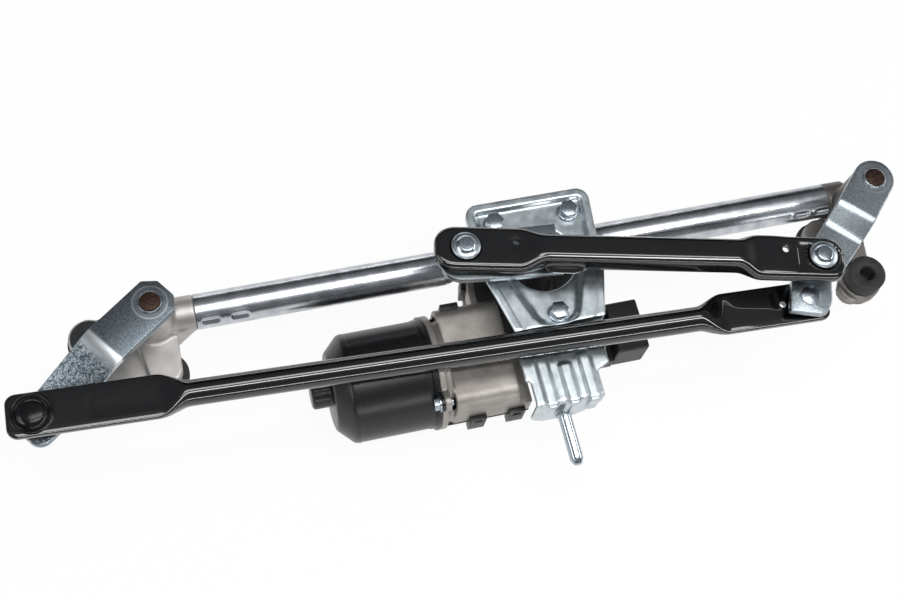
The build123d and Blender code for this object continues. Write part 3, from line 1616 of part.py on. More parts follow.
# Splash plate: black moulding with raised rings, over the bowl on the crank side
splash_radius = bowl_radius - 4.0
with BuildPart() as splash_plate:
    with BuildSketch(Plane.XY.offset(floor_top)) as disc:
        with Locations((motor_x, motor_y)):
            Circle(splash_radius)
            Circle(boss_radius + 0.1, mode=Mode.SUBTRACT)
        with Locations((motor_x, motor_axis_y - box_half + tunnel_radius + 0.3)):
            Rectangle(4 * bowl_radius, 2 * box_half, mode=Mode.SUBTRACT)
        with Locations((bell_end + 0.3 - box_half, motor_axis_y)):
            Rectangle(2 * box_half, 2 * box_half + 0.6, mode=Mode.SUBTRACT)
        with Locations(*bolt_places):
            Circle(post_radius + 0.3, mode=Mode.SUBTRACT)
    extrude(disc.sketch, amount=cap_thickness - 0.6)
    for ring_radius in (12.0, 16.0):
        with BuildSketch(Plane.XY.offset(floor_top)) as raised:
            with Locations((motor_x, motor_y)):
                Circle(ring_radius)
                Circle(ring_radius - 1.2, mode=Mode.SUBTRACT)
        extrude(raised.sketch, amount=cap_thickness)
splash_plate.part.label = "splash_plate"
export_step(splash_plate.part, "parts/splash_plate.step")

# Gear cover: black moulding that closes the casting from below, with four hooks that snap
# over the casting, and the foot of the plug housing
hook_width = 10.0
hook_depth = 2.8
hook_root = 8.0
hook_reach = 8.5
hook_bite = 1.2
hook_gap = 0.05
box_hooks = [(-52.0, -1), (-28.0, -1), (-51.0, 1)]
bowl_hook_angle = 164.0
pan_depth = 10.0
tunnel_half = tunnel_radius + 0.5
plug_start = motor_x + 41.0
plug_end = motor_x + 61.0
plug_near = motor_y - 21.0
plug_far = motor_y - 53.5


def cover_hook(wall, outwards):
    """A windowed hook that rises from the cover's wall, with its back to the casting"""
    across_way = (outwards[1], -outwards[0])
    foot = Plane(
        origin=(wall[0], wall[1], parting_level - hook_root),
        x_dir=(across_way[0], across_way[1], 0),
        z_dir=(0, 0, 1),
    )
    way = 1 if foot.y_dir.dot(Vector(outwards[0], outwards[1], 0)) > 0 else -1
    with BuildSketch(foot) as root:
        with Locations((0, way * (hook_depth - hook_bite) / 2)):
            Rectangle(hook_width, hook_depth + hook_bite)
    extrude(root.sketch, amount=hook_root)
    with BuildSketch(foot.offset(hook_root)) as arms:
        with Locations((0, way * (hook_depth + hook_gap) / 2)):
            Rectangle(hook_width, hook_depth - hook_gap)
    extrude(arms.sketch, amount=hook_reach)
    with BuildSketch(foot.offset(hook_root + 2)) as window:
        with Locations((0, way * hook_depth / 2)):
            Rectangle(hook_width * 0.5, 2 * hook_depth)
    extrude(window.sketch, amount=hook_reach - 4, mode=Mode.SUBTRACT)


with BuildPart() as gear_cover:
    trough_start = yoke_front + flange_thickness
    trough_length = block_end - trough_start
    with BuildSketch(motor_plane_at(trough_start)) as trough:
        Circle(trough_radius)
    extrude(trough.sketch, amount=trough_length)
    with BuildSketch(motor_plane_at(trough_start)) as trough_bore:
        Circle(bell_bore + 0.8)
    extrude(trough_bore.sketch, amount=trough_length - cover_wall, mode=Mode.SUBTRACT)
    with BuildSketch(Plane.XY.offset(parting_level)) as above:
        with Locations((trough_start + trough_length / 2, motor_axis_y)):
            Rectangle(trough_length + 2, 3 * trough_radius)
    extrude(above.sketch, amount=2 * trough_radius, mode=Mode.SUBTRACT)
    with BuildSketch(Plane.XY.offset(parting_level)) as pan:
        with Locations((motor_x, motor_y)):
            Circle(bowl_radius)
        with Locations(((bell_end + tunnel_end) / 2, motor_axis_y)):
            Rectangle(tunnel_end - bell_end, 2 * tunnel_half)
        with Locations(((motor_x + plug_start) / 2, (plug_near + plug_far) / 2)):
            Rectangle(plug_start - motor_x, plug_near - plug_far)
    extrude(pan.sketch, amount=-pan_depth)
    with BuildSketch(Plane.XY.offset(parting_level)) as pan_room:
        with Locations((motor_x, motor_y)):
            Circle(bowl_radius - cover_wall)
        with Locations(((bell_end + tunnel_end) / 2, motor_axis_y)):
            Rectangle(tunnel_end - bell_end - 2 * cover_wall, 2 * tunnel_half - 2 * cover_wall)
        with Locations(((motor_x + plug_start) / 2 - cover_wall, (plug_near + plug_far) / 2)):
            Rectangle(plug_start - motor_x, plug_near - plug_far - 2 * cover_wall)
    extrude(pan_room.sketch, amount=cover_wall - pan_depth, mode=Mode.SUBTRACT)
    with BuildSketch(motor_plane_at(bell_bearing_start)) as worm_room:
        Circle(bearing_radius + shaft_room)
    extrude(worm_room.sketch, amount=shaft_end - bell_bearing_start, mode=Mode.SUBTRACT)
    for hook_x, side in box_hooks:
        wall_y = motor_axis_y + side * box_half
        cover_hook((motor_x + hook_x, wall_y), (0, side))
    bowl_way = polar(0, 0, 1, bowl_hook_angle)
    cover_hook(polar(motor_x, motor_y, bowl_radius, bowl_hook_angle), bowl_way)
gear_cover.part.label = "gear_cover"
export_step(gear_cover.part, "parts/gear_cover.step")

# Plug housing with its terminals, its mouth away from the motor
plug_level = plate_top - 37.0
plug_foot = parting_level - pan_depth
plug_wall = 1.8
plug_depth = 14.0
terminal_count = 5
with BuildPart() as connector_housing:
    with BuildSketch(side_plane(plug_start)) as block:
        with Locations(((plug_near + plug_far) / 2, (plug_level + plug_foot) / 2)):
            Rectangle(plug_near - plug_far, plug_level - plug_foot)
        fillet(block.vertices(), 2.0)
    extrude(block.sketch, amount=plug_end - plug_start)
    with BuildSketch(side_plane(plug_end)) as mouth:
        with Locations(((plug_near + plug_far) / 2, (plug_level + plug_foot) / 2)):
            Rectangle(plug_near - plug_far - 2 * plug_wall, plug_level - plug_foot - 2 * plug_wall)
    extrude(mouth.sketch, amount=-plug_depth, mode=Mode.SUBTRACT)
    with BuildSketch(Plane.XY.offset(plug_level)) as slots:
        with Locations((plug_end, (plug_near + plug_far) / 2)):
            Rectangle(12, 8)
    extrude(slots.sketch, amount=-plug_wall, mode=Mode.SUBTRACT)
connector_housing.part.label = "connector_housing"
export_step(connector_housing.part, "parts/connector_housing.step")

terminal_pitch = 5.0
with BuildPart() as connector_terminals:
    with BuildSketch(side_plane(plug_end - plug_depth)) as blades:
        with Locations(((plug_near + plug_far) / 2, (plug_level + plug_foot) / 2)):
            with GridLocations(terminal_pitch, 1, terminal_count, 1):
                Rectangle(0.8, 4.0)
    extrude(blades.sketch, amount=plug_depth - 4)
connector_terminals.part.label = "connector_terminals"
export_step(connector_terminals.part, "parts/connector_terminals.step")

# Worm wheel, contact disc and output shaft
wheel_root = wheel_radius - 1.8
wheel_foot = worm_level - wheel_thickness / 2
wheel_hub = 10.0
tooth_width = 1.7
with BuildPart() as worm_wheel:
    with BuildSketch(Plane.XY.offset(wheel_foot)):
        with Locations((motor_x, motor_y)):
            Circle(wheel_root)
            with PolarLocations((wheel_root + wheel_radius) / 2, wheel_teeth):
                Rectangle(wheel_radius - wheel_root + 0.4, tooth_width)
            Circle(shaft_radius, mode=Mode.SUBTRACT)
    extrude(amount=wheel_thickness)
    for level, way in ((wheel_foot, 1), (wheel_foot + wheel_thickness, -1)):
        with BuildSketch(Plane.XY.offset(level)) as recess:
            with Locations((motor_x, motor_y)):
                Circle(wheel_root - 4)
                Circle(wheel_hub, mode=Mode.SUBTRACT)
        extrude(recess.sketch, amount=way * 2.2, mode=Mode.SUBTRACT)
worm_wheel.part.label = "worm_wheel"
export_step(worm_wheel.part, "parts/worm_wheel.step")

disc_thickness = 0.5
with BuildPart() as contact_disc:
    ring(motor_x, motor_y, wheel_foot + 2.2 - disc_thickness, disc_thickness, wheel_root - 6, wheel_hub + 2)
contact_disc.part.label = "contact_disc"
export_step(contact_disc.part, "parts/contact_disc.step")

shaft_top = nut_base + nut_height + 0.5
with BuildPart() as output_shaft:
    revolve(
        turned(
            upright(motor_x, motor_y),
            [
                (0, wheel_foot - 1.5),
                (shaft_radius - 0.5, wheel_foot - 1.5),
                (shaft_radius, wheel_foot - 1),
                (shaft_radius, nut_base),
                (shaft_thread, nut_base),
                (shaft_thread, shaft_top - 0.8),
                (shaft_thread - 0.8, shaft_top),
                (0, shaft_top),
            ],
        ),
        axis=shaft_axis,
    )
output_shaft.part.label = "output_shaft"
export_step(output_shaft.part, "parts/output_shaft.step")
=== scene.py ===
import json
from math import cos, exp, pi, radians, sin, sqrt

import bmesh
import bpy
from mathutils import Matrix, Vector

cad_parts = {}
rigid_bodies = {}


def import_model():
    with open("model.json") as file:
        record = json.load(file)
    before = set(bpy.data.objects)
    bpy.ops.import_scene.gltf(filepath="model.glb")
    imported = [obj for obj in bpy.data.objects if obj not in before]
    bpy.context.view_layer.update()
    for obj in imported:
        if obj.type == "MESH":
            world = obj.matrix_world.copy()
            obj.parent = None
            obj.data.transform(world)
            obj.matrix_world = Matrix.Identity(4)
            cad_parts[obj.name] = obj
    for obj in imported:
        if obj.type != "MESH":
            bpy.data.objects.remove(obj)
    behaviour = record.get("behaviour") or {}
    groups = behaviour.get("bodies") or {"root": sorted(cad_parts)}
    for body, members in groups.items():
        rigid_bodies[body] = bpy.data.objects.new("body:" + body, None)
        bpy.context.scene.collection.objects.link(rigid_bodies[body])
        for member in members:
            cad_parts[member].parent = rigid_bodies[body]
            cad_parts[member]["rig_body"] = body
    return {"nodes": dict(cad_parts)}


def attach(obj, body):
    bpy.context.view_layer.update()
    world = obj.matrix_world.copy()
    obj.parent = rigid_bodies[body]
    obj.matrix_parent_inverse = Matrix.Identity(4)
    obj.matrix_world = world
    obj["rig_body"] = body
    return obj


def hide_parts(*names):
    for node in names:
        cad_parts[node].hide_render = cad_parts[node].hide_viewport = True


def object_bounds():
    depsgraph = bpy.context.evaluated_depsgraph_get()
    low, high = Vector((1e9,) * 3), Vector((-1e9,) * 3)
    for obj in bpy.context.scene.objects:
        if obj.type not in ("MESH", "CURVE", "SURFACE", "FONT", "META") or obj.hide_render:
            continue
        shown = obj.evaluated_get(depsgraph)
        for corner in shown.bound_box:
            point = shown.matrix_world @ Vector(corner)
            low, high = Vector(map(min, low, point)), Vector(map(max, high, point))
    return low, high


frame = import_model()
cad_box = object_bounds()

nodes = frame["nodes"]
MM = 0.001

# Camera: the photograph's own, above and in front of the linkage, looking down across it
# through a 58 mm lens from a little under a metre.
def linked(name, data):
    """A new object with the given data, put into the scene"""
    item = bpy.data.objects.new(name, data)
    bpy.context.scene.collection.objects.link(item)
    return item


camera_data = bpy.data.cameras.new("camera")
camera_data.lens = 58.0
camera_data.sensor_width = 36.0
camera_data.clip_start = 0.05
camera = linked("camera", camera_data)
camera_x, camera_y, camera_z = 2.6 * MM, -328.9 * MM, 819.1 * MM
look_right = Vector((0.9645, -0.2378, 0.1145)).normalized()
look_back = -Vector((0.1968, 0.3591, -0.9123))
look_back = (look_back - look_right * look_back.dot(look_right)).normalized()
look_up = look_back.cross(look_right)
camera.matrix_world = Matrix((
    (look_right.x, look_up.x, look_back.x, camera_x),
    (look_right.y, look_up.y, look_back.y, camera_y),
    (look_right.z, look_up.z, look_back.z, camera_z),
    (0, 0, 0, 1),
))
bpy.context.scene.camera = camera


# Studio: a white table under the part, white to the camera and in reflections, a grey room,
# narrow lamps that draw the long light lines on tube and links, and behind the part a black
# card, unseen by the camera, that darkens the tube's upper third.
def linear(code):
    """A colour written as sRGB hex, as the linear numbers that the shader works in"""
    parts = [int(code[i:i + 2], 16) / 255 for i in (1, 3, 5)]
    return tuple(p / 12.92 if p <= 0.04045 else ((p + 0.055) / 1.055) ** 2.4 for p in parts) + (1.0,)


def add_node(tree, kind, settings=None, to=None, **links):
    """One node with its plain settings, its colour stops, its linked or constant inputs, and the
    socket that its first output feeds"""
    node = tree.nodes.new(kind)
    for key, value in (settings or {}).items():
        if key == "stops":
            while len(node.color_ramp.elements) < len(value):
                node.color_ramp.elements.new(0.5)
            for element, (position, code) in zip(node.color_ramp.elements, value):
                element.position = position
                element.color = linear(code)
        else:
            setattr(node, key, value)
    for key, value in links.items():
        numbered = key[0] == "i" and key[1:].isdigit()
        socket = node.inputs[int(key[1:])] if numbered else node.inputs[key.replace("_", " ")]
        for part in value if isinstance(value, list) else [value]:
            if isinstance(part, bpy.types.NodeSocket):
                tree.links.new(part, socket)
            else:
                socket.default_value = part
    if to is not None:
        tree.links.new(node.outputs[0], to)
    return node.outputs[0] if node.outputs else None


def maths(tree, operation, first, second):
    """What one operation makes of two values"""
    return add_node(tree, "ShaderNodeMath", {"operation": operation}, i0=first, i1=second)


def bare_material(name):
    """A material with an empty tree, and the tree"""
    material = bpy.data.materials.new(name)
    material.use_nodes = True
    material.node_tree.nodes.clear()
    return material, material.node_tree


def studio_sheet(name, corners, material):
    """A flat sheet of the studio, in metres, that isn't part of the object"""
    mesh = bpy.data.meshes.new(name)
    mesh.from_pydata(corners, [], [(0, 1, 2, 3)])
    mesh.materials.append(material)
    return linked(name, mesh)


studio_white, tree = bare_material("studio_white_table")
path = tree.nodes.new("ShaderNodeLightPath")
white_share = 0.94
seen = maths(tree, "MAXIMUM", path.outputs["Is Camera Ray"], path.outputs["Is Glossy Ray"])
seen = maths(tree, "MAXIMUM", seen, path.outputs["Is Transmission Ray"])
amount = maths(tree, "MULTIPLY", seen, white_share)
white = add_node(tree, "ShaderNodeEmission", Color=(1, 1, 1, 1), Strength=1.0)
plain = add_node(tree, "ShaderNodeBsdfDiffuse", Color=(0.9, 0.9, 0.9, 1))
mixed = add_node(tree, "ShaderNodeMixShader", i0=amount, i1=plain, i2=white)
add_node(tree, "ShaderNodeOutputMaterial", Surface=mixed)
floor_level = cad_box[0].z - 0.0005
reach = 6.0
floor = studio_sheet("studio_floor", [(-reach, -reach, floor_level), (reach, -reach, floor_level),
                                      (reach, reach, floor_level), (-reach, reach, floor_level)], studio_white)

room = bpy.data.worlds.new("studio_room")
bpy.context.scene.world = room
room.use_nodes = True
room.node_tree.nodes.clear()
grey_room = add_node(room.node_tree, "ShaderNodeBackground", Color=linear("#b9bdc2"), Strength=0.38)
add_node(room.node_tree, "ShaderNodeOutputWorld", Surface=grey_room)

black_card, tree = bare_material("studio_black_card")
card_paint = add_node(tree, "ShaderNodeBsdfDiffuse", Color=linear("#2a2b2d"))
add_node(tree, "ShaderNodeOutputMaterial", Surface=card_paint)
card_left, card_right, card_y, card_top = -1.6, 2.0, 1.6, 1.35
card = studio_sheet("studio_card_behind", [(card_left, card_y, 0.0), (card_right, card_y, 0.0),
                                           (card_right, card_y, card_top), (card_left, card_y, card_top)],
                    black_card)
card.visible_camera = False

lamp_target = Vector((0.2, -0.03, 0.03))
along_x, along_y = Vector((1, 0, 0)), Vector((0, 1, 0))
for name, place, width, height, power, length_way in (
        ("lamp_strip_front", (0.36, -0.36, 1.25), 1.3, 0.10, 7.0, along_x),
        ("lamp_panel_above", (0.28, 0.05, 1.35), 1.15, 0.28, 6.0, along_x),
        ("lamp_strip_low", (0.30, -1.20, 0.42), 1.5, 0.06, 4.0, along_x),
        ("lamp_left", (-1.05, -0.25, 0.65), 0.9, 0.30, 4.2, along_y),
        ("lamp_right", (1.40, -0.15, 0.55), 0.8, 0.30, 4.2, along_y),
        ("lamp_back", (0.20, 1.25, 0.16), 1.3, 0.12, 2.0, along_x)):
    lamp = bpy.data.lights.new(name, "AREA")
    lamp.shape = "RECTANGLE"
    lamp.size = width
    lamp.size_y = height
    lamp.energy = power
    item = linked(name, lamp)
    away = (Vector(place) - lamp_target).normalized()
    across = (length_way - away * length_way.dot(away)).normalized()
    facing = Matrix((across, away.cross(across), away)).transposed().to_4x4()
    item.matrix_world = Matrix.Translation(place) @ facing


# Frame tube: a drawn steel tube, galvanised bright with streaks along its length, squeezed oval
# beside the motor shaft, and dented over the spigot of each pivot housing to hold it there.
def new_material(name, **sockets):
    """A Principled material named for its finish, its tree, its shader and the piece's own places"""
    material = bpy.data.materials.new(name)
    material.use_nodes = True
    tree = material.node_tree
    shader = tree.nodes["Principled BSDF"].inputs
    for key, value in sockets.items():
        shader[key.replace("_", " ")].default_value = value
    return material, tree, shader, tree.nodes.new("ShaderNodeTexCoord").outputs["Object"]


def set_on_frame(mesh, name, material, node, stands_in=True, sharp=42):
    """The finished mesh as a piece on the body of its CAD node, which it stands for or adds to"""
    for polygon in mesh.polygons:
        polygon.use_smooth = True
    mesh.set_sharp_from_angle(angle=radians(sharp))
    mesh.materials.clear()
    mesh.materials.append(material)
    piece = linked(name, mesh)
    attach(piece, nodes[node]["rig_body"])
    if stands_in:
        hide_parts(node)
    return piece


def evaluated(carrier, steps):
    """The plain mesh that an object gives after each (kind, settings) modifier in turn"""
    for kind, settings in steps:
        modifier = carrier.modifiers.new(kind.lower(), kind)
        for key, value in settings.items():
            setattr(modifier, key, value)
    done = bpy.data.meshes.new_from_object(carrier.evaluated_get(bpy.context.evaluated_depsgraph_get()))
    bpy.data.objects.remove(carrier)
    return done


def with_modifiers(mesh, *steps):
    """The mesh after each (kind, settings) modifier in turn"""
    return evaluated(linked("carrier", mesh), steps)


def skinned(name, rows, closed=True, capped=True):
    """A mesh in millimetres stretched over rows of points, each row a closed ring or an open line"""
    count = len(rows[0])
    faces = []
    for row in range(len(rows) - 1):
        for k in range(count if closed else count - 1):
            a, b = row * count + k, row * count + (k + 1) % count
            faces.append((a, b, b + count, a + count))
    if closed and capped:
        faces.append(tuple(range(count)))
        faces.append(tuple((len(rows) - 1) * count + k for k in range(count)))
    mesh = bpy.data.meshes.new(name)
    mesh.from_pydata([tuple(c * MM for c in point) for row in rows for point in row], [], faces)
    work = bmesh.new()
    work.from_mesh(mesh)
    bmesh.ops.remove_doubles(work, verts=work.verts, dist=1e-6)
    if closed:
        bmesh.ops.recalc_face_normals(work, faces=work.faces)
    work.to_mesh(mesh)
    work.free()
    return mesh


def noise(tree, where, size, detail, **more):
    """Soft noise with blotches of about the given size in millimetres"""
    return add_node(tree, "ShaderNodeTexNoise", Vector=where, Scale=1 / (size * MM), Detail=detail, **more)


def ramp(tree, pattern, *stops, to=None):
    """The colours at the given stops of a pattern"""
    return add_node(tree, "ShaderNodeValToRGB", {"stops": stops}, to, Fac=pattern)


def roughened(tree, shader, pattern, low, high):
    """Roughness that follows a pattern from low to high"""
    add_node(tree, "ShaderNodeMapRange", None, shader["Roughness"], Value=pattern, i3=low, i4=high)


def dimpled(tree, shader, pattern, strength, depth):
    """Bumps that follow a pattern, their depth in millimetres"""
    add_node(tree, "ShaderNodeBump", None, shader["Normal"], Height=pattern, Strength=strength,
             Distance=depth * MM)


# Long streaks of the drawing die and clouds of the zinc bath give soft, broken light lines.
galvanised, tree, shader, where = new_material("galvanised_drawn_steel", Metallic=1.0)
along = add_node(tree, "ShaderNodeMapping", Vector=where, Scale=(0.02, 1.0, 1.0))
streaks = noise(tree, along, 2.0, 4.0)
clouds = noise(tree, where, 9.0, 4.0)
ramp(tree, clouds, (0.3, "#a9adb3"), (0.7, "#cfd2d6"), to=shader["Base Color"])
roughened(tree, shader, streaks, 0.16, 0.38)
dimpled(tree, shader, streaks, 0.15, 0.05)

tube_y, tube_z, tube_r, tube_wall = 1.1, 34.0, 10.5, 1.5
tube_start, tube_end = 24.2, 420.5
squeeze_from, squeeze_to, squeeze_run, squeeze_half = 184.2, 259.2, 13.0, 6.5
dents = (32.2, 49.2, 402.2, 416.2)
dent_half, dent_size, ridge_height = 3.2, 1.7, 0.28


def tube_ring(x, inset):
    """One ring of the tube at x, round or oval, with the crimp dents and the low ridges beside them"""
    near = min(1.0, max(0.0, (squeeze_from - x) / squeeze_run, (x - squeeze_to) / squeeze_run))
    near = near * near * (3 - 2 * near)
    half_y = squeeze_half + (tube_r - squeeze_half) * near
    half_z = sqrt(2 * tube_r ** 2 - half_y ** 2)
    ring = []
    for k in range(96):
        turn = 2 * pi * k / 96
        push = 0.0
        for place in dents:
            for side in (radians(60), radians(240)):
                away = (turn - side + pi) % (2 * pi) - pi
                over = sqrt(max(0.0, (abs(x - place) - dent_half)) ** 2 + (away * tube_r) ** 2) / dent_size
                push += -1.0 * exp(-over ** 4) + ridge_height * exp(-((over - 1.75) / 0.45) ** 2)
        side_y, side_z = -sin(turn), cos(turn)
        ring.append((x, tube_y + side_y * (half_y - inset + push), tube_z + side_z * (half_z - inset + push)))
    return ring


tube_x = [tube_start + 0.5 * k for k in range(64)] + [58 + 14 * k for k in range(9)]
tube_x += [squeeze_from - squeeze_run * (1 - k / 6) for k in range(7)] + [200 + 15 * k for k in range(4)]
tube_x += [squeeze_to + squeeze_run * k / 6 for k in range(7)] + [286 + 14 * k for k in range(8)]
tube_x += [393.5 + 0.5 * k for k in range(54)] + [tube_end]
tube_x = sorted(set(tube_x))
tube_rows = [tube_ring(x, 0.0) for x in tube_x] + [tube_ring(x, tube_wall) for x in reversed(tube_x)]
tube_rows.append(tube_rows[0])
set_on_frame(skinned("frame_tube_drawn", tube_rows, capped=False), "frame_tube_drawn", galvanised,
             "frame_tube", sharp=50)


# Pivot housings: aluminium die castings with a matt, finely pitted skin and rounded edges all over.
# The left one is pale, the right one a darker grey.
def merged_copy(node):
    """A copy of a CAD node with its doubles merged and its flat faces joined"""
    mesh = nodes[node].data.copy()
    work = bmesh.new()
    work.from_mesh(mesh)
    bmesh.ops.remove_doubles(work, verts=work.verts, dist=2e-6)
    bmesh.ops.dissolve_limit(work, angle_limit=radians(0.6), verts=work.verts, edges=work.edges)
    work.to_mesh(mesh)
    work.free()
    return mesh


def moulded(node, material, grain, passes, keep=0.5):
    """A CAD node whose edges are rounded all over, as a mould or a press leaves them"""
    mesh = with_modifiers(merged_copy(node), ("REMESH", {"mode": "VOXEL", "voxel_size": grain * MM}),
                          ("SMOOTH", {"factor": 0.5, "iterations": passes}), ("DECIMATE", {"ratio": keep}))
    return set_on_frame(mesh, node + "_finished", material, node, sharp=60)


def cast_metal(name, dark, light, grit):
    """Die cast aluminium: slow clouds of tone, and pits that roughen and dimple the skin"""
    material, tree, shader, where = new_material(name, Metallic=0.85)
    pits = noise(tree, where, grit, 5.0, Roughness=0.65)
    flow = noise(tree, where, 12.0, 3.0)
    ramp(tree, flow, (0.3, dark), (0.7, light), to=shader["Base Color"])
    roughened(tree, shader, pits, 0.4, 0.6)
    dimpled(tree, shader, pits, 0.35, 0.08)
    return material


pale_casting = cast_metal("die_cast_aluminium_pale", "#adaaa7", "#cbc8c5", 0.7)
dark_casting = cast_metal("die_cast_aluminium_grey", "#6c6865", "#8a8683", 0.7)
moulded("left_pivot_housing", pale_casting, 0.65, 4)
moulded("right_pivot_housing", dark_casting, 0.65, 4)

# Grommets: black rubber, buttoned into the housings' ears, matt with a dusty bloom, the open
# bores ridged so that they grip the studs of the car's body. The tall one's head is a crisp
# edged disc over the ear's ring.
rubber, tree, shader, where = new_material("moulded_rubber", Roughness=0.6, Specular_IOR_Level=0.4)
bloom = noise(tree, where, 6.0, 4.0)
grain = noise(tree, where, 0.5, 3.0)
ramp(tree, bloom, (0.35, "#1c1c1d"), (0.7, "#2b2b2c"), to=shader["Base Color"])
dimpled(tree, shader, grain, 0.3, 0.05)
moulded("left_grommets", rubber, 0.6, 3)
moulded("right_grommets", rubber, 0.6, 3)


def new_tree(name, *inputs):
    """A Geometry Nodes tree with named inputs, their identifiers, and the values given through them"""
    tree = bpy.data.node_groups.new(name, "GeometryNodeTree")
    sockets = {}
    for label, kind in (("Places", "Geometry"),) + inputs + (("Finish", "Material"),):
        socket = tree.interface.new_socket(label, in_out="INPUT", socket_type="NodeSocket" + kind)
        sockets[label] = socket.identifier
    tree.interface.new_socket("Made", in_out="OUTPUT", socket_type="NodeSocketGeometry")
    return tree, sockets, tree.nodes.new("NodeGroupInput").outputs


def placed(tree, given, piece):
    """The tree's end: the piece at every given place, as plain geometry in its finish"""
    made = add_node(tree, "GeometryNodeInstanceOnPoints", Points=given["Places"], Instance=piece)
    made = add_node(tree, "GeometryNodeRealizeInstances", Geometry=made)
    made = add_node(tree, "GeometryNodeSetMaterial", Geometry=made, Material=given["Finish"])
    add_node(tree, "NodeGroupOutput", Made=made)


def grown(tree, sockets, points, name, *after, **inputs):
    """The plain mesh that a node tree makes at the given points, with any modifiers after it"""
    seed = bpy.data.meshes.new(name)
    seed.from_pydata([tuple(c * MM for c in point) for point in points], [], [])
    carrier = linked(name, seed)
    made = carrier.modifiers.new("tree", "NODES")
    made.node_group = tree
    for key, value in inputs.items():
        made[sockets[key.replace("_", " ")]] = value
    return evaluated(carrier, after)


def turned(name, outline, place, lying=False, steps=96):
    """A turned mesh from (radius, height) points round an upright axis, or round the motor's lying one"""
    rows = []
    for radius, height in outline + outline[:1]:
        row = []
        for k in range(steps):
            u, v = radius * cos(2 * pi * k / steps), radius * sin(2 * pi * k / steps)
            x, y, z = place
            row.append((x + height, y + u, z + v) if lying else (x + u, y + v, z + height))
        rows.append(row)
    return skinned(name, rows, capped=False)


bore_tree, sockets, given = new_tree("ridged_bore", ("Bore radius", "Float"), ("Ridge size", "Float"),
                                     ("Pitch", "Float"), ("Ridges", "Int"))
ridge_line = add_node(bore_tree, "GeometryNodeCurvePrimitiveCircle", Resolution=48,
                      Radius=given["Bore radius"])
ridge_section = add_node(bore_tree, "GeometryNodeCurvePrimitiveCircle", Resolution=8,
                         Radius=given["Ridge size"])
ridge = add_node(bore_tree, "GeometryNodeCurveToMesh", Curve=ridge_line, Profile_Curve=ridge_section)
down = maths(bore_tree, "MULTIPLY", given["Pitch"], -1.0)
down = add_node(bore_tree, "ShaderNodeCombineXYZ", Z=down)
levels = add_node(bore_tree, "GeometryNodeMeshLine", {"mode": "OFFSET"}, Count=given["Ridges"], Offset=down)
stacked = add_node(bore_tree, "GeometryNodeInstanceOnPoints", Points=levels, Instance=ridge)
placed(bore_tree, given, stacked)
tall_grommet = (428.4, -55.0)
for node, place, ridges in (("left_grommets", (-37.0, -2.8, 32.9), 4),
                            ("right_grommets", (*tall_grommet, 41.0), 6)):
    mesh = grown(bore_tree, sockets, [place], node + "_bore", Bore_radius=5.1 * MM, Ridge_size=0.55 * MM,
                 Pitch=2.1 * MM, Ridges=ridges, Finish=rubber)
    set_on_frame(mesh, mesh.name, rubber, node, False, 60)
head_outline = [(5.0, -9.0), (11.6, -9.0), (11.6, -0.55), (11.45, -0.15), (11.1, 0.0), (5.4, 0.0),
                (5.1, -0.15), (5.0, -0.5)]
mesh = turned("right_grommet_head", head_outline, (*tall_grommet, 42.3))
set_on_frame(mesh, mesh.name, rubber, "right_grommets", False)

# Bushes, washers and clips: sintered bronze and bright spring steel round the spindles,
# pressed in or slipped over them.
def bevel(width, angle=32, segments=2):
    """A modifier step that rounds the edges a little, its width in millimetres"""
    return "BEVEL", {"width": width * MM, "segments": segments, "limit_method": "ANGLE",
                     "angle_limit": radians(angle)}


def bevelled(node, material, width):
    """A CAD node whose edges are broken by a small rounded bevel"""
    mesh = with_modifiers(merged_copy(node), bevel(width))
    return set_on_frame(mesh, node + "_finished", material, node)


bronze, tree, shader, where = new_material("sintered_bronze", Metallic=1.0)
pores = noise(tree, where, 0.4, 4.0)
ramp(tree, pores, (0.3, "#8c6a3e"), (0.7, "#b08a56"), to=shader["Base Color"])
roughened(tree, shader, pores, 0.35, 0.55)
bright, tree, shader, where = new_material("bright_zinc_plated_steel", Metallic=1.0)
turning = noise(tree, where, 1.2, 4.0)
ramp(tree, turning, (0.3, "#9aa3ab"), (0.7, "#b9c1c8"), to=shader["Base Color"])
roughened(tree, shader, turning, 0.16, 0.3)
dimpled(tree, shader, turning, 0.06, 0.04)
for node in ("left_bushes", "right_bushes", "output_bush", "armature_bushes"):
    bevelled(node, bronze, 0.15)
for node in ("left_washers", "right_washers", "left_clip", "right_clip"):
    bevelled(node, bright, 0.12)

# Spindles: hardened steel, browned by its heat treatment, riveted into the cranks.
brown_steel, tree, shader, where = new_material("hardened_brown_steel", Metallic=0.8)
heat_marks = noise(tree, where, 1.6, 5.0)
ramp(tree, heat_marks, (0.3, "#2a1d19"), (0.7, "#4d3a32"), to=shader["Base Color"])
roughened(tree, shader, heat_marks, 0.3, 0.5)
dimpled(tree, shader, heat_marks, 0.3, 0.1)
bevelled("left_spindle", brown_steel, 0.5)
bevelled("right_spindle", brown_steel, 0.5)


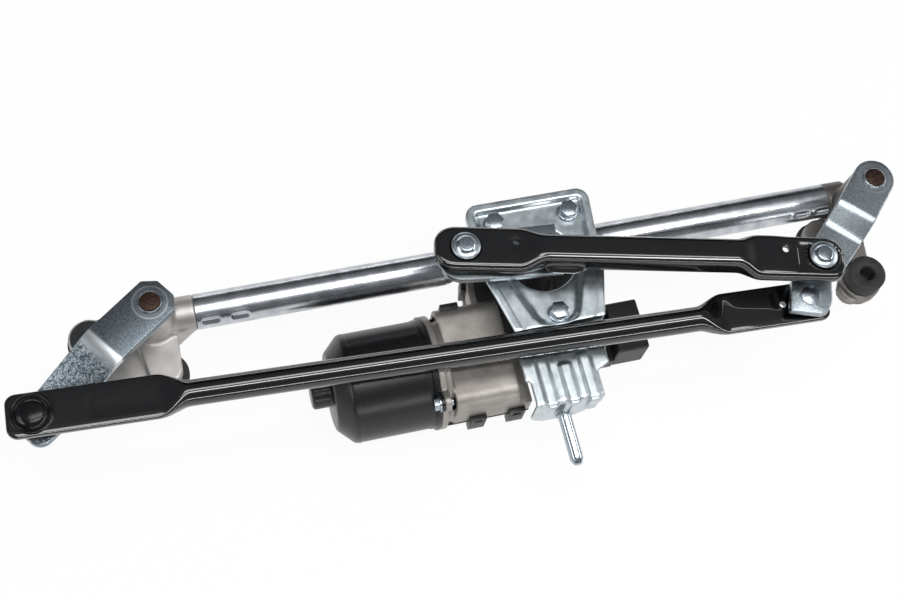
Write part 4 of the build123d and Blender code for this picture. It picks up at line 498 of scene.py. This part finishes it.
# Wiper cranks: 5 mm steel plate, bent and blanked, zinc plated over a coarse grain that shows as blue-grey
# sparkle, with the plate lightened round each riveted spindle and a bright ring there that is a painted
# highlight.
def crank_plate(name, centre, turn, dark, light, coarse, slope=None):
    """Zinc plated plate, its grain drawn coarser than the real one so that it shows, lightened round the centre
    with a painted highlight ring there; past slope, in 100 mm along it, its grain is drawn in lighter sparkling
    tones and a highlight is painted along the bend"""
    material, tree, shader, where = new_material(name, Metallic=1.0)
    c, n = cos(turn), sin(turn)
    shift = (-centre[0] * c - centre[1] * n, centre[0] * n - centre[1] * c)
    where = add_node(tree, "ShaderNodeMapping", Vector=where, Location=(shift[0] * MM, shift[1] * MM, 0.0),
                     Rotation=(0.0, 0.0, -turn))
    crystals = add_node(tree, "ShaderNodeTexVoronoi", Vector=where, Scale=1 / (coarse * MM))
    grains = noise(tree, where, coarse, 4.0, Roughness=0.7)
    tone = add_node(tree, "ShaderNodeMix", {"data_type": "FLOAT"}, Factor=0.5, i2=crystals, i3=grains)
    colour = ramp(tree, tone, (0.3, dark), (0.58, light))
    if slope:
        along = maths(tree, "DIVIDE", add_node(tree, "ShaderNodeSeparateXYZ", i0=where), 100 * MM)
        shade = add_node(tree, "ShaderNodeSeparateColor", Color=crystals.node.outputs["Color"])
        sparkle = ramp(tree, shade, (0.0, "#3f484d"), (0.4, "#6b767d"), (0.75, "#959fa6"), (1.0, "#c3cbd0"))
        below = ramp(tree, along, (slope, "#000000"), (slope + 0.045, "#ffffff"))
        # A bright band just before the bend is a painted highlight, standing in for the lamp's reflection in
        # the bent metal.
        painted_bend_highlight = ramp(tree, along, (slope - 0.055, "#000000"), (slope - 0.04, "#f0f0f0"),
                      (slope, "#cccccc"), (slope + 0.05, "#000000"))
        colour = add_node(tree, "ShaderNodeMixRGB", i0=below, i1=colour, i2=sparkle)
        colour = add_node(tree, "ShaderNodeMixRGB", i0=painted_bend_highlight, i1=colour, i2=linear("#f0f4f6"))
    flat = add_node(tree, "ShaderNodeVectorMath", {"operation": "MULTIPLY"}, i0=where, i1=(1.0, 1.0, 0.0))
    away = add_node(tree, "ShaderNodeVectorMath", {"operation": "LENGTH"}, i0=flat).node.outputs["Value"]
    # A lighter disc round the centre, and at its edge a bright ring painted as the highlight on the rim of the
    # hole.
    ring = ramp(tree, maths(tree, "DIVIDE", away, 12 * MM), (0.0, "#777777"), (0.76, "#666666"),
                (0.79, "#e8e8e8"), (0.83, "#dddddd"), (0.87, "#000000"))
    add_node(tree, "ShaderNodeMixRGB", None, shader["Base Color"], i0=ring, i1=colour, i2=linear("#b9bec2"))
    roughened(tree, shader, grains, 0.22, 0.42)
    dimpled(tree, shader, grains, 0.45, 0.12)
    return material


def eased(low, high, value):
    """0 at low, 1 at high, and a smooth step between them"""
    t = min(1.0, max(0.0, (value - low) / (high - low)))
    return t * t * (3 - 2 * t)


def beside(origin, turn, s, t):
    """The point at s along a piece and t across it"""
    return origin[0] + s * cos(turn) - t * sin(turn), origin[1] + s * sin(turn) + t * cos(turn)


def bored(mesh, holes, low, high):
    """The mesh with round holes cut through it, each (x, y, radius), from level low to high"""
    for x, y, radius in holes:
        outline = [(0.0, low), (radius, low), (radius, high), (0.0, high)]
        cutter = turned("cutter", outline, (x, y, 0.0), steps=64)
        tool = linked("cutter", cutter)
        mesh = with_modifiers(mesh, ("BOOLEAN", {"operation": "DIFFERENCE", "solver": "EXACT", "object": tool}))
        bpy.data.objects.remove(tool)
    return mesh


crank_thickness, crank_edge = 5.0, 0.8


def bent_plate(name, origin, turn, top, drop, bend, outline, soft):
    """A plate with rounded edges, from (s, low t, high t) stations, its far end bent down by drop"""
    rows = []
    stations = [outline[0][0] + (outline[-1][0] - outline[0][0]) * k / 150 for k in range(151)]
    for s in sorted(set(stations + [point[0] for point in outline])):
        for near, far in zip(outline, outline[1:]):
            if near[0] <= s <= far[0]:
                share = (s - near[0]) / (far[0] - near[0])
                low, high = (near[i] + (far[i] - near[i]) * share for i in (1, 2))
        level = top
        for start, way in ((bend[0], -1), (bend[1], 1)):
            past = s - start
            fallen = past if past > soft else max(0.0, past + soft) ** 2 / (4 * soft)
            level += way * drop / (bend[1] - bend[0]) * fallen
        foot = level - crank_thickness
        edge = min(crank_edge, (high - low) / 3)
        row = []
        for corner_t, corner_z, start in ((high - edge, level - edge, 0), (low + edge, level - edge, 90),
                                          (low + edge, foot + edge, 180), (high - edge, foot + edge, 270)):
            for k in range(5):
                angle = radians(start + 22.5 * k)
                x, y = beside(origin, turn, s, corner_t + edge * cos(angle))
                row.append((x, y, corner_z + edge * sin(angle)))
        rows.append(row)
    return skinned(name, rows)


def coined(name, x, y, level, material, node):
    """The cone of plate metal that is pressed up round a spindle's end"""
    outline = [(6.02, -0.4), (7.3, -0.4), (7.25, 0.1), (6.9, 0.75), (6.5, 1.25), (6.2, 1.38), (6.02, 1.3)]
    set_on_frame(turned(name, outline, (x, y, level)), name, material, node, False, 50)


def arc_ends(start, reach, half, corner, steps=9):
    """(s, low t, high t) stations of a straight end with rounded corners, going away from start"""
    way = 1 if reach > start else -1
    turns = [pi / 2 * k / steps for k in range(steps + 1)]
    return [(reach - way * corner * (1 - sin(a)), -half + corner * (1 - cos(a)), half - corner * (1 - cos(a)))
            for a in turns]


left_axis, right_axis = (0.0, 0.0), (434.8, -9.3)
left_turn, right_turn = radians(215.85), radians(225.6)
left_top, right_top = 62.0, 79.0
left_pin, drive_pin, tandem_pin = (-71.414, -51.602), (382.03, -54.69), (373.72, -71.67)
spindle_bore, pin_bore = 6.02, 4.02
left_plate = crank_plate("zinc_plate_coarse_grain", left_axis, left_turn, "#454e54", "#7f878d", 0.75, 0.385)
right_plate = crank_plate("zinc_plate_fine_grain", right_axis, right_turn, "#6b7378", "#a9b1b6", 0.7)
left_outline = [(-12.2, -6.3, 6.3), (-11.9, -6.9, 6.9), (-6.2, -12.6, 12.6), (-5.4, -13.0, 13.0)]
left_outline += arc_ends(0.0, 97.6, 13.0, 7.5)
mesh = bent_plate("left_crank_bent", left_axis, left_turn, left_top, 17.0, (36.5, 75.0), left_outline, 3.5)
mesh = bored(mesh, [(*left_axis, spindle_bore), (*left_pin, pin_bore)], 30.0, 70.0)
set_on_frame(mesh, "left_crank_bent", left_plate, "left_crank_arm", sharp=50)
coined("left_coined_collar", *left_axis, left_top, left_plate, "left_crank_arm")
right_round = 12.4
right_outline = [(-right_round * cos(pi / 2 * k / 12), -right_round * sin(pi / 2 * k / 12),
                  right_round * sin(pi / 2 * k / 12)) for k in range(13)]
right_outline[0] = (-right_round, -0.5, 0.5)
right_outline += [(38.5, -12.4, 12.4), (66.3, -13.0, 10.2), (69.5, -13.1, 7.9), (72.0, -13.3, 7.4),
                  (82.0, -13.6, 12.4), (84.5, -13.4, 13.3), (91.5, -10.6, 13.5), (94.0, -9.6, 11.7),
                  (100.5, -6.9, -1.2), (101.8, -6.2, -4.0), (102.3, -5.4, -4.9)]
mesh = bent_plate("right_crank_bent", right_axis, right_turn, right_top, 9.0, (26.0, 38.5), right_outline, 2.4)
mesh = bored(mesh, [(*right_axis, spindle_bore), (*drive_pin, pin_bore), (*tandem_pin, pin_bore)], 60.0, 90.0)
set_on_frame(mesh, "right_crank_bent", right_plate, "right_crank_arm", sharp=50)
coined("right_coined_collar", *right_axis, right_top, right_plate, "right_crank_arm")

# Motor bracket: pressed steel plate with a raised soft rim and a ribbed flange, plated pale and
# bluish, its saddle tabs welded to the tube.
sheet_zinc, tree, shader, where = new_material("zinc_plated_pressed_sheet", Metallic=1.0)
mottle = noise(tree, where, 6.0, 5.0, Roughness=0.6)
fine = noise(tree, where, 0.8, 3.0)
ramp(tree, mottle, (0.3, "#b3bcc0"), (0.7, "#d3dadd"), to=shader["Base Color"])
roughened(tree, shader, mottle, 0.22, 0.42)
dimpled(tree, shader, fine, 0.2, 0.05)
bracket = moulded("motor_bracket", sheet_zinc, 0.6, 5, 0.6)
# The soft rim stands outside the two slanting sides and the front of a pocket round the lower bolt.
bracket_top, rim_foot, rim_height = 56.0, 43.5, 2.3
for vertex in bracket.data.vertices:
    x, y, z = (c / MM for c in vertex.co)
    if y < -4.0 and z > rim_foot and y > -63.0:
        left = (206.0 - x) * 0.934 - (y + 23.1) * 0.356
        right = (x - 246.1) * 0.943 - (y + 23.0) * 0.335
        beyond = sqrt(sum(max(0.0, gap + 6.0) ** 2 for gap in (left, right, -54.0 - y))) - 6.0
        ridge = rim_height * eased(0.0, 4.5, beyond) * eased(-4.0, -14.0, y) * min(1.0, (z - rim_foot) / 9.0)
        if z > 54.8:
            vertex.co.z = max(vertex.co.z, (min(z, bracket_top) + ridge) * MM)
        else:
            vertex.co.z += ridge * MM * (1.0 if y < -55.0 else eased(55.5, 54.2, z))

# Locating pin: turned steel, riveted through the flange's lip, with a chamfered tip.
bevelled("locating_pin", bright, 0.3)

# Motor yoke: a deep drawn steel can in satin black paint, with two rolled beads behind its flange
# and another at its rear shoulder, held by two screws.
satin, tree, shader, where = new_material("satin_black_paint")
orange = noise(tree, where, 1.5, 3.0)
ramp(tree, orange, (0.35, "#09090a"), (0.7, "#121214"), to=shader["Base Color"])
roughened(tree, shader, orange, 0.26, 0.4)
dimpled(tree, shader, orange, 0.2, 0.05)
bevelled("motor_yoke", satin, 0.6)

yoke_axis = (0.0, -54.1, 9.5)
bead_places = ((150.2, 32.3, 1.1), (147.2, 32.3, 0.7), (103.8, 32.2, 0.5))
bead_half = 1.3
for number, (bead_x, bead_r, bead_out) in enumerate(bead_places, 1):
    bead = [(bead_r + bead_out * sin(pi * k / 12), bead_x + bead_half * (1 - cos(pi * k / 12)))
            for k in range(13)]
    mesh = turned("yoke_bead_" + str(number), bead, yoke_axis, lying=True)
    set_on_frame(mesh, mesh.name, satin, "motor_yoke", False, 60)
bevelled("yoke_screws", bright, 0.25)

# Inside the motor: ferrite magnets, a core of stacked sheet, copper windings and commutator,
# the brushes and the shaft with its worm.
copper, tree, shader, where = new_material("enamelled_copper", Metallic=0.9)
wires = noise(tree, where, 0.6, 3.0)
ramp(tree, wires, (0.3, "#8d4a22"), (0.7, "#c97a45"), to=shader["Base Color"])
roughened(tree, shader, wires, 0.25, 0.45)
for node in ("armature_windings", "commutator"):
    bevelled(node, copper, 0.1)
ferrite, tree, shader, where = new_material("pressed_ferrite", Roughness=0.6)
dusty = noise(tree, where, 0.7, 4.0)
ramp(tree, dusty, (0.3, "#2d2d30"), (0.7, "#45454a"), to=shader["Base Color"])
bevelled("magnets", ferrite, 0.3)
bevelled("brushes", ferrite, 0.2)
stack, tree, shader, where = new_material("stacked_core_sheet", Metallic=0.9, Roughness=0.4)
# The core's sheets are 0.5 mm thick, drawn 1 mm apart so that they show.
sheets = add_node(tree, "ShaderNodeTexWave", Vector=where, Scale=1 / (3.1 * MM))
ramp(tree, sheets, (0.3, "#6e7277"), (0.7, "#9a9ea3"), to=shader["Base Color"])
bevelled("armature_core", stack, 0.1)
bevelled("armature_shaft", bright, 0.2)

# Gear housing: an aluminium die casting in warm grey, screwed to the yoke and bolted to the
# bracket through three posts.
gearbox_casting = cast_metal("die_cast_gearbox_aluminium", "#8f8a85", "#aca7a2", 0.8)
moulded("gear_housing", gearbox_casting, 0.75, 3, 0.4)

# Worm wheel, contact disc and output shaft: a moulded gear on a steel shaft.
nylon, tree, shader, where = new_material("moulded_acetal_gear", Roughness=0.4)
pale = noise(tree, where, 5.0, 3.0)
ramp(tree, pale, (0.3, "#d8d2bf"), (0.7, "#e6e1d2"), to=shader["Base Color"])
bevelled("worm_wheel", nylon, 0.15)
bevelled("contact_disc", copper, 0.1)
bevelled("output_shaft", bright, 0.2)

# Covers and plug housing: black mouldings with a fine spark-eroded skin, snapped to the casting.
moulding, tree, shader, where = new_material("moulded_black_polymer", Roughness=0.45)
skin = noise(tree, where, 0.5, 4.0)
ramp(tree, skin, (0.35, "#111112"), (0.7, "#1c1c1d"), to=shader["Base Color"])
dimpled(tree, shader, skin, 0.3, 0.04)
moulded("connector_housing", moulding, 0.6, 12)
for node in ("splash_plate", "gear_cover", "brush_card"):
    bevelled(node, moulding, 0.4)
arch_outer = [(165.5, 24.0), (165.5, 31.2), (176.5, 31.2), (176.5, 24.0)]
arch_inner = [(167.7, 24.0), (167.7, 29.2), (174.3, 29.2), (174.3, 24.0)]
arch_front, arch_back = -24.5, -20.5
arch_rows = [[(outer[0], arch_front, outer[1]), (outer[0], arch_back, outer[1]),
              (inner[0], arch_back, inner[1]), (inner[0], arch_front, inner[1])]
             for outer, inner in zip(arch_outer, arch_inner)]
mesh = with_modifiers(skinned("cover_arch_clip", arch_rows), bevel(0.5))
set_on_frame(mesh, "cover_arch_clip", moulding, "gear_cover", False)
bevelled("shaft_cap", rubber, 0.4)
bevelled("connector_terminals", copper, 0.1)

# Bracket bolts: three flanged hexagon bolts in bright zinc, screwed into the gearbox posts.
bolt_tree, sockets, given = new_tree("flanged_bolts", ("Head width", "Float"), ("Head height", "Float"),
                                     ("Flange radius", "Float"))
corner = maths(bolt_tree, "DIVIDE", given["Head width"], sqrt(3))
hexagon = add_node(bolt_tree, "GeometryNodeMeshCylinder", Vertices=6, Radius=corner,
                   Depth=given["Head height"])
lift = add_node(bolt_tree, "ShaderNodeCombineXYZ", Z=maths(bolt_tree, "DIVIDE", given["Head height"], 2.0))
hexagon = add_node(bolt_tree, "GeometryNodeTransform", Geometry=hexagon, Translation=lift)
flange_top = maths(bolt_tree, "MULTIPLY", given["Flange radius"], 0.9)
flange = add_node(bolt_tree, "GeometryNodeMeshCone", Vertices=48, Radius_Top=flange_top,
                  Radius_Bottom=given["Flange radius"], Depth=1.5 * MM)
shank_radius, shank_length = 3.0, 16.0
shank = add_node(bolt_tree, "GeometryNodeMeshCylinder", Vertices=32, Radius=shank_radius * MM,
                 Depth=shank_length * MM)
shank = add_node(bolt_tree, "GeometryNodeTransform", Geometry=shank,
                 Translation=(0.0, 0.0, -shank_length / 2 * MM))
bolt = add_node(bolt_tree, "GeometryNodeJoinGeometry", Geometry=[hexagon, flange, shank])
placed(bolt_tree, given, bolt)
bolt_places = [(250.126, 13.343, bracket_top), (204.274, 13.343, bracket_top), (227.2, -48.8, bracket_top)]
mesh = grown(bolt_tree, sockets, bolt_places, "flanged_bracket_bolts", bevel(0.5, 40, 3),
             Head_width=10 * MM, Head_height=6.5 * MM, Flange_radius=6.5 * MM, Finish=bright)
set_on_frame(mesh, "flanged_bracket_bolts", bright, "bracket_bolts")

# Motor crank and its nut: a zinc plated plate with a pressed boss, held on the shaft by a
# flanged nut.
motor_axis = (227.2, -13.5)
crank_zinc = crank_plate("zinc_plate_smooth", motor_axis, 0.0, "#8b949a", "#b7bfc4", 0.6)
bevelled("motor_crank", crank_zinc, 0.9)
bevelled("crank_nut", bright, 0.2)

# Ball pins: turned steel balls with a flat end face, zinc plated, riveted into the cranks.
for node in ("motor_ball_pin", "drive_ball_pin", "left_tandem_ball_pin", "right_tandem_ball_pin",
             "motor_ball_rivet", "left_ball_rivet"):
    bevelled(node, bright, 0.25)
motor_ball, ball_level = (177.521, -10.026), 83.0
collar_outline = [(4.0, 3.2), (8.3, 3.2), (8.45, 3.7), (8.3, 4.3), (7.6, 4.8), (6.2, 5.3), (5.1, 5.6),
                  (4.7, 6.2), (4.0, 6.4)]
for node, ball in (("motor_ball_pin", motor_ball), ("drive_ball_pin", drive_pin)):
    mesh = turned(node + "_collar", collar_outline, (*ball, ball_level))
    set_on_frame(mesh, node + "_collar", crank_zinc, node, False)

# Ball sockets: black acetal liners snapped in the links' plates. The left one is closed by a
# domed cap with two raised rings.
liner, tree, shader, where = new_material("moulded_black_acetal", Specular_IOR_Level=0.3)
flow = noise(tree, where, 4.0, 3.0)
ramp(tree, flow, (0.35, "#0c0c0e"), (0.7, "#161618"), to=shader["Base Color"])
roughened(tree, shader, flow, 0.14, 0.28)
liner_foot = [(9.25, 1.0), (9.25, -2.7), (11.65, -2.7), (11.65, -3.7), (11.3, -4.0), (9.45, -4.6)]
liner_cup = [(6.6, -4.6), (7.4, -3.2), (7.85, -1.8), (8.05, 0.0), (8.0, 0.9), (8.7, 1.6)]
ringed_rim = [(8.9, 2.2), (9.3, 2.4), (9.7, 2.2), (10.0, 1.7), (10.3, 1.7), (10.6, 2.1), (11.0, 2.2),
              (11.45, 1.9), (11.65, 1.4), (11.65, 1.0)]
plain_rim = [(8.9, 2.2), (9.2, 2.5), (10.9, 2.3), (11.35, 1.8), (11.4, 1.0)]
mesh = turned("drive_socket_ringed", liner_cup + ringed_rim + liner_foot, (*motor_ball, ball_level))
set_on_frame(mesh, mesh.name, liner, "drive_link_sockets")
mesh = turned("drive_socket_knurled", liner_cup + plain_rim + liner_foot, (*drive_pin, ball_level))
set_on_frame(mesh, mesh.name, liner, "drive_link_sockets", False)
knurl_tree, sockets, given = new_tree("knurled_ring", ("Teeth", "Int"), ("Ring radius", "Float"),
                                      ("Tooth size", "Float"))
teeth = add_node(knurl_tree, "GeometryNodeMeshCircle", Vertices=given["Teeth"], Radius=given["Ring radius"])
tooth = add_node(knurl_tree, "GeometryNodeMeshIcoSphere", Radius=given["Tooth size"], Subdivisions=2)
knurl = add_node(knurl_tree, "GeometryNodeInstanceOnPoints", Points=teeth, Instance=tooth)
placed(knurl_tree, given, knurl)
mesh = grown(knurl_tree, sockets, [(*drive_pin, ball_level + 2.2)], "drive_socket_teeth", Teeth=26,
             Ring_radius=10.2 * MM, Tooth_size=0.95 * MM, Finish=liner)
set_on_frame(mesh, mesh.name, liner, "drive_link_sockets", False, 60)
bevelled("right_tandem_socket", liner, 0.3)
left_ball = (*left_pin, 55.0)
cap_outline = [(0.0, 8.05), (3.0, 7.47), (5.69, 5.69), (7.47, 3.0), (8.05, 0.0), (7.78, -2.08), (6.86, -4.2),
               (10.05, -4.2), (10.05, 5.8), (11.65, 5.8), (11.65, 6.9), (11.2, 7.2), (10.75, 7.2), (10.5, 7.0),
               (10.35, 7.15), (10.1, 7.3), (9.8, 7.15), (9.6, 6.8), (9.3, 6.8), (9.1, 7.15), (8.8, 7.45),
               (8.5, 7.35), (8.3, 7.0), (8.0, 7.0), (7.2, 7.9), (6.0, 8.5), (4.2, 8.95), (2.2, 9.18),
               (0.0, 9.25)]
mesh = turned("left_tandem_socket_cap", cap_outline, left_ball)
set_on_frame(mesh, mesh.name, liner, "left_tandem_socket", sharp=50)

# Tandem link: one steel tube, pressed flat at both ends for the ball sockets, with swept
# shoulders between, dipped in gloss black.
# The thin, very glossy coat mirrors the lamps as fine lines over a nearly black ground.
e_coat, tree, shader, where = new_material("black_dipped_paint", Specular_IOR_Level=0.18, Coat_Weight=0.9,
                                           Coat_Roughness=0.03, Coat_IOR=1.7)
peel = noise(tree, where, 3.5, 2.0)
dust = noise(tree, where, 0.6, 3.0)
ramp(tree, dust, (0.4, "#040404"), (0.75, "#0b0b0c"), to=shader["Base Color"])
roughened(tree, shader, dust, 0.2, 0.32)
dimpled(tree, shader, peel, 0.12, 0.1)
tandem_turn, tandem_reach = radians(-2.5808), 445.6
tandem_overhang, rod_radius, end_corner = 14.0, 7.4, 6.0
tandem_dents = [(16.1, -1.6, 2.2, -0.3), (30.5, 1.6, 2.6, 0.45), (421.3, 1.9, 1.2, 0.5),
                (427.2, 4.9, 2.4, 0.4)]


def tandem_ring(s):
    """One oval ring of the tandem link, flat at the ends and round in the middle"""
    flat = 1 - eased(66.0, 84.0, s) * (1 - eased(379.0, 396.0, s))
    end = min(s + tandem_overhang, tandem_reach + tandem_overhang - s)
    half = rod_radius + 5.2 * flat
    if end < end_corner:
        half -= end_corner - sqrt(end_corner ** 2 - (end_corner - end) ** 2)
    rise = rod_radius - 5.3 * flat
    rise *= 0.45 + 0.55 * min(1.0, (end / 0.8)) ** 0.5
    level = 57.0 + 1.7 * flat
    power = 2.0 / (2.0 + 5.0 * flat)
    sunk = 0.35 * eased(28.0, 34.0, s) * (1 - eased(64.0, 70.0, s))
    ring = []
    for k in range(72):
        turn = 2 * pi * k / 72
        c, n = cos(turn), sin(turn)
        t = half * (abs(c) ** power) * (1 if c >= 0 else -1)
        z = rise * (abs(n) ** power) * (1 if n >= 0 else -1)
        if n > 0:
            z -= sunk * exp(-((t + 5.6) / 0.9) ** 2)
            for dent_s, dent_t, size, depth in tandem_dents:
                z -= depth * exp(-(((s - dent_s) ** 2 + (t - dent_t) ** 2) / size ** 2) ** 2)
        x, y = beside(left_ball, tandem_turn, s, t)
        ring.append((x, y, level + z))
    return ring


stations = [-14.0, -13.8, -13.3, -12.5, -11.5, -10.0, -9.0, -8.0] + [-6 + 3.0 * k for k in range(9)]
stations += [19.5 + 0.6 * k for k in range(38)] + [44 + 4.0 * k for k in range(5)]
stations += [64 + 1.0 * k for k in range(22)] + [95 + 35.0 * k for k in range(8)]
stations += [376 + 1.0 * k for k in range(22)] + [401.0, 406.0, 411.0] + [414 + 0.6 * k for k in range(36)]
stations += [439.0, 445.6, 450.0, 453.6, 455.6, 457.1, 458.1, 458.9, 459.4, 459.6]
mesh = skinned("tandem_link_pressed", [tandem_ring(s) for s in sorted(set(stations))])
socket_bore, tandem_hole = 10.1, 1.9
right_end = beside(left_ball, tandem_turn, tandem_reach, 0.0)
hole_place = beside(left_ball, tandem_turn, 431.4, 0.0)
mesh = bored(mesh, [(*left_pin, socket_bore), (*right_end, socket_bore), (*hole_place, tandem_hole)],
             40.0, 75.0)
set_on_frame(mesh, "tandem_link_pressed", e_coat, "tandem_link", sharp=50)

# Drive link: pressed steel channel with a flat lipped plate at each end, joggled down from the
# channel, dipped in the same gloss black.
drive_turn, drive_reach, drive_level = radians(-12.3208), 209.3, 84.0
left_overhang, right_overhang, plate_half = 15.8, 11.5, 13.0
drive_bore, drain_hole = 9.3, 1.9
drain_places = ((29.0, 3.5), (187.3, 3.5))
plate_line = [(-13.0, -3.2), (-13.0, -2.2), (-12.8, -1.0), (-12.1, -0.25), (-11.0, 0.0), (-8.0, 0.0),
              (-4.0, 0.0), (0.0, 0.0), (4.0, 0.0), (8.0, 0.0), (11.0, 0.0), (12.1, -0.25), (12.8, -1.0),
              (13.0, -2.2), (13.0, -3.2)]
channel_line = [(-7.0, -6.0), (-6.9, -4.8), (-6.4, -1.6), (-5.9, 1.4), (-5.5, 2.42), (-5.2, 2.55),
                (-4.0, 2.95), (-3.4, 3.0), (4.0, 3.0), (5.8, 2.85), (6.6, 2.2), (7.3, 0.9), (8.6, -1.6),
                (9.6, -4.8), (9.9, -6.0)]
# The first and last two rows share a place: the outer one of each pair is the lip's foot.
drive_stations = [-15.8, -15.8, -15.7, -15.4, -14.6, -13.2, -11.5, -9.0, -6.0, 0.0, 7.0, 14.0, 21.0, 26.0]
drive_stations += [29.0, 31.0] + [33 + 2.0 * k for k in range(8)] + [50.0, 54.0, 58.0, 62.0, 66.0, 68.0]
drive_stations += [70.0, 73.0, 80.0, 110.0, 140.0, 152.0, 157.0] + [159 + 2.0 * k for k in range(7)]
drive_stations += [174.0, 177.0, 182.0, 187.0, 191.0, 193.0, 194.0, 195.0, 197.0, 202.0, 206.0, 209.3]
drive_stations += [drive_reach + more for more in (3.0, 5.5, 7.5, 9.0, 10.1, 10.8, 11.2, 11.4, 11.5, 11.5)]
drive_rows = []
for index, s in enumerate(drive_stations):
    lifted = eased(31.0, 47.0, s) * (1 - eased(158.5, 172.0, s))
    left_in, right_in = min(10.0, s + left_overhang), drive_reach + right_overhang - s
    round_low = round_high = (3 + sqrt(100 - (10 - left_in) ** 2)) / plate_half * 0.9
    if s > 160:
        round_low = (6.5 + sqrt(40 - (6.32 - min(6.32, right_in)) ** 2)) / 13.3
        round_high = 1 - 0.16 * eased(174.0, 190.0, s)
        beyond = max(0.0, s - drive_reach)
        round_high = min(round_high, sqrt(max(0.0, right_overhang ** 2 - beyond ** 2)) / plate_half)
    stepped = 0.7 * eased(192.5, 195.0, s)
    from_end = min(index, len(drive_stations) - 1 - index)
    drop = (3.7, 1.4, 0.5, 0.12)[from_end] if from_end < 4 else 0.0
    flare = eased(45.0, 50.0, s) * (1 - eased(66.0, 69.0, s))
    row = []
    for place, (plate_point, channel_point) in enumerate(zip(plate_line, channel_line)):
        narrowed = round_low if plate_point[0] < 0 else round_high
        t = plate_point[0] * narrowed * (1 - lifted) + channel_point[0] * lifted
        z = max(-3.2, plate_point[1] - drop - stepped * (abs(plate_point[0]) < 10))
        z = z * (1 - lifted) + channel_point[1] * lifted
        if place < 3:
            t -= flare * (4.2, 3.4, 0.6)[place]
            z += flare * (1.0, 0.9, -1.6)[place]
        x, y = beside(motor_ball, drive_turn, s, t)
        row.append((x, y, drive_level + z))
    drive_rows.append(row)
mesh = skinned("drive_link_pressed", drive_rows, closed=False)
mesh = with_modifiers(mesh, ("SUBSURF", {"levels": 2, "render_levels": 2}))
for vertex in mesh.vertices:
    gap = vertex.co / MM - Vector((*motor_ball, drive_level))
    s = gap.x * cos(drive_turn) + gap.y * sin(drive_turn)
    t = -gap.x * sin(drive_turn) + gap.y * cos(drive_turn)
    for (dent_s, dent_t), size, depth in zip(drain_places, (3.4, 2.6), (0.5, 0.4)):
        vertex.co.z -= depth * MM * exp(-((s - dent_s) ** 2 + (t - dent_t) ** 2) / size ** 2)
mesh = with_modifiers(mesh, ("SOLIDIFY", {"thickness": 2.0 * MM, "offset": -1.0}))
holes = [(*beside(motor_ball, drive_turn, s, 0.0), drive_bore) for s in (0.0, drive_reach)]
holes += [(*beside(motor_ball, drive_turn, s, t), drain_hole) for s, t in drain_places]
mesh = bored(mesh, holes, 60.0, 100.0)
set_on_frame(mesh, "drive_link_pressed", e_coat, "drive_link", sharp=50)

scene = bpy.context.scene
scene.view_settings.view_transform = "Standard"
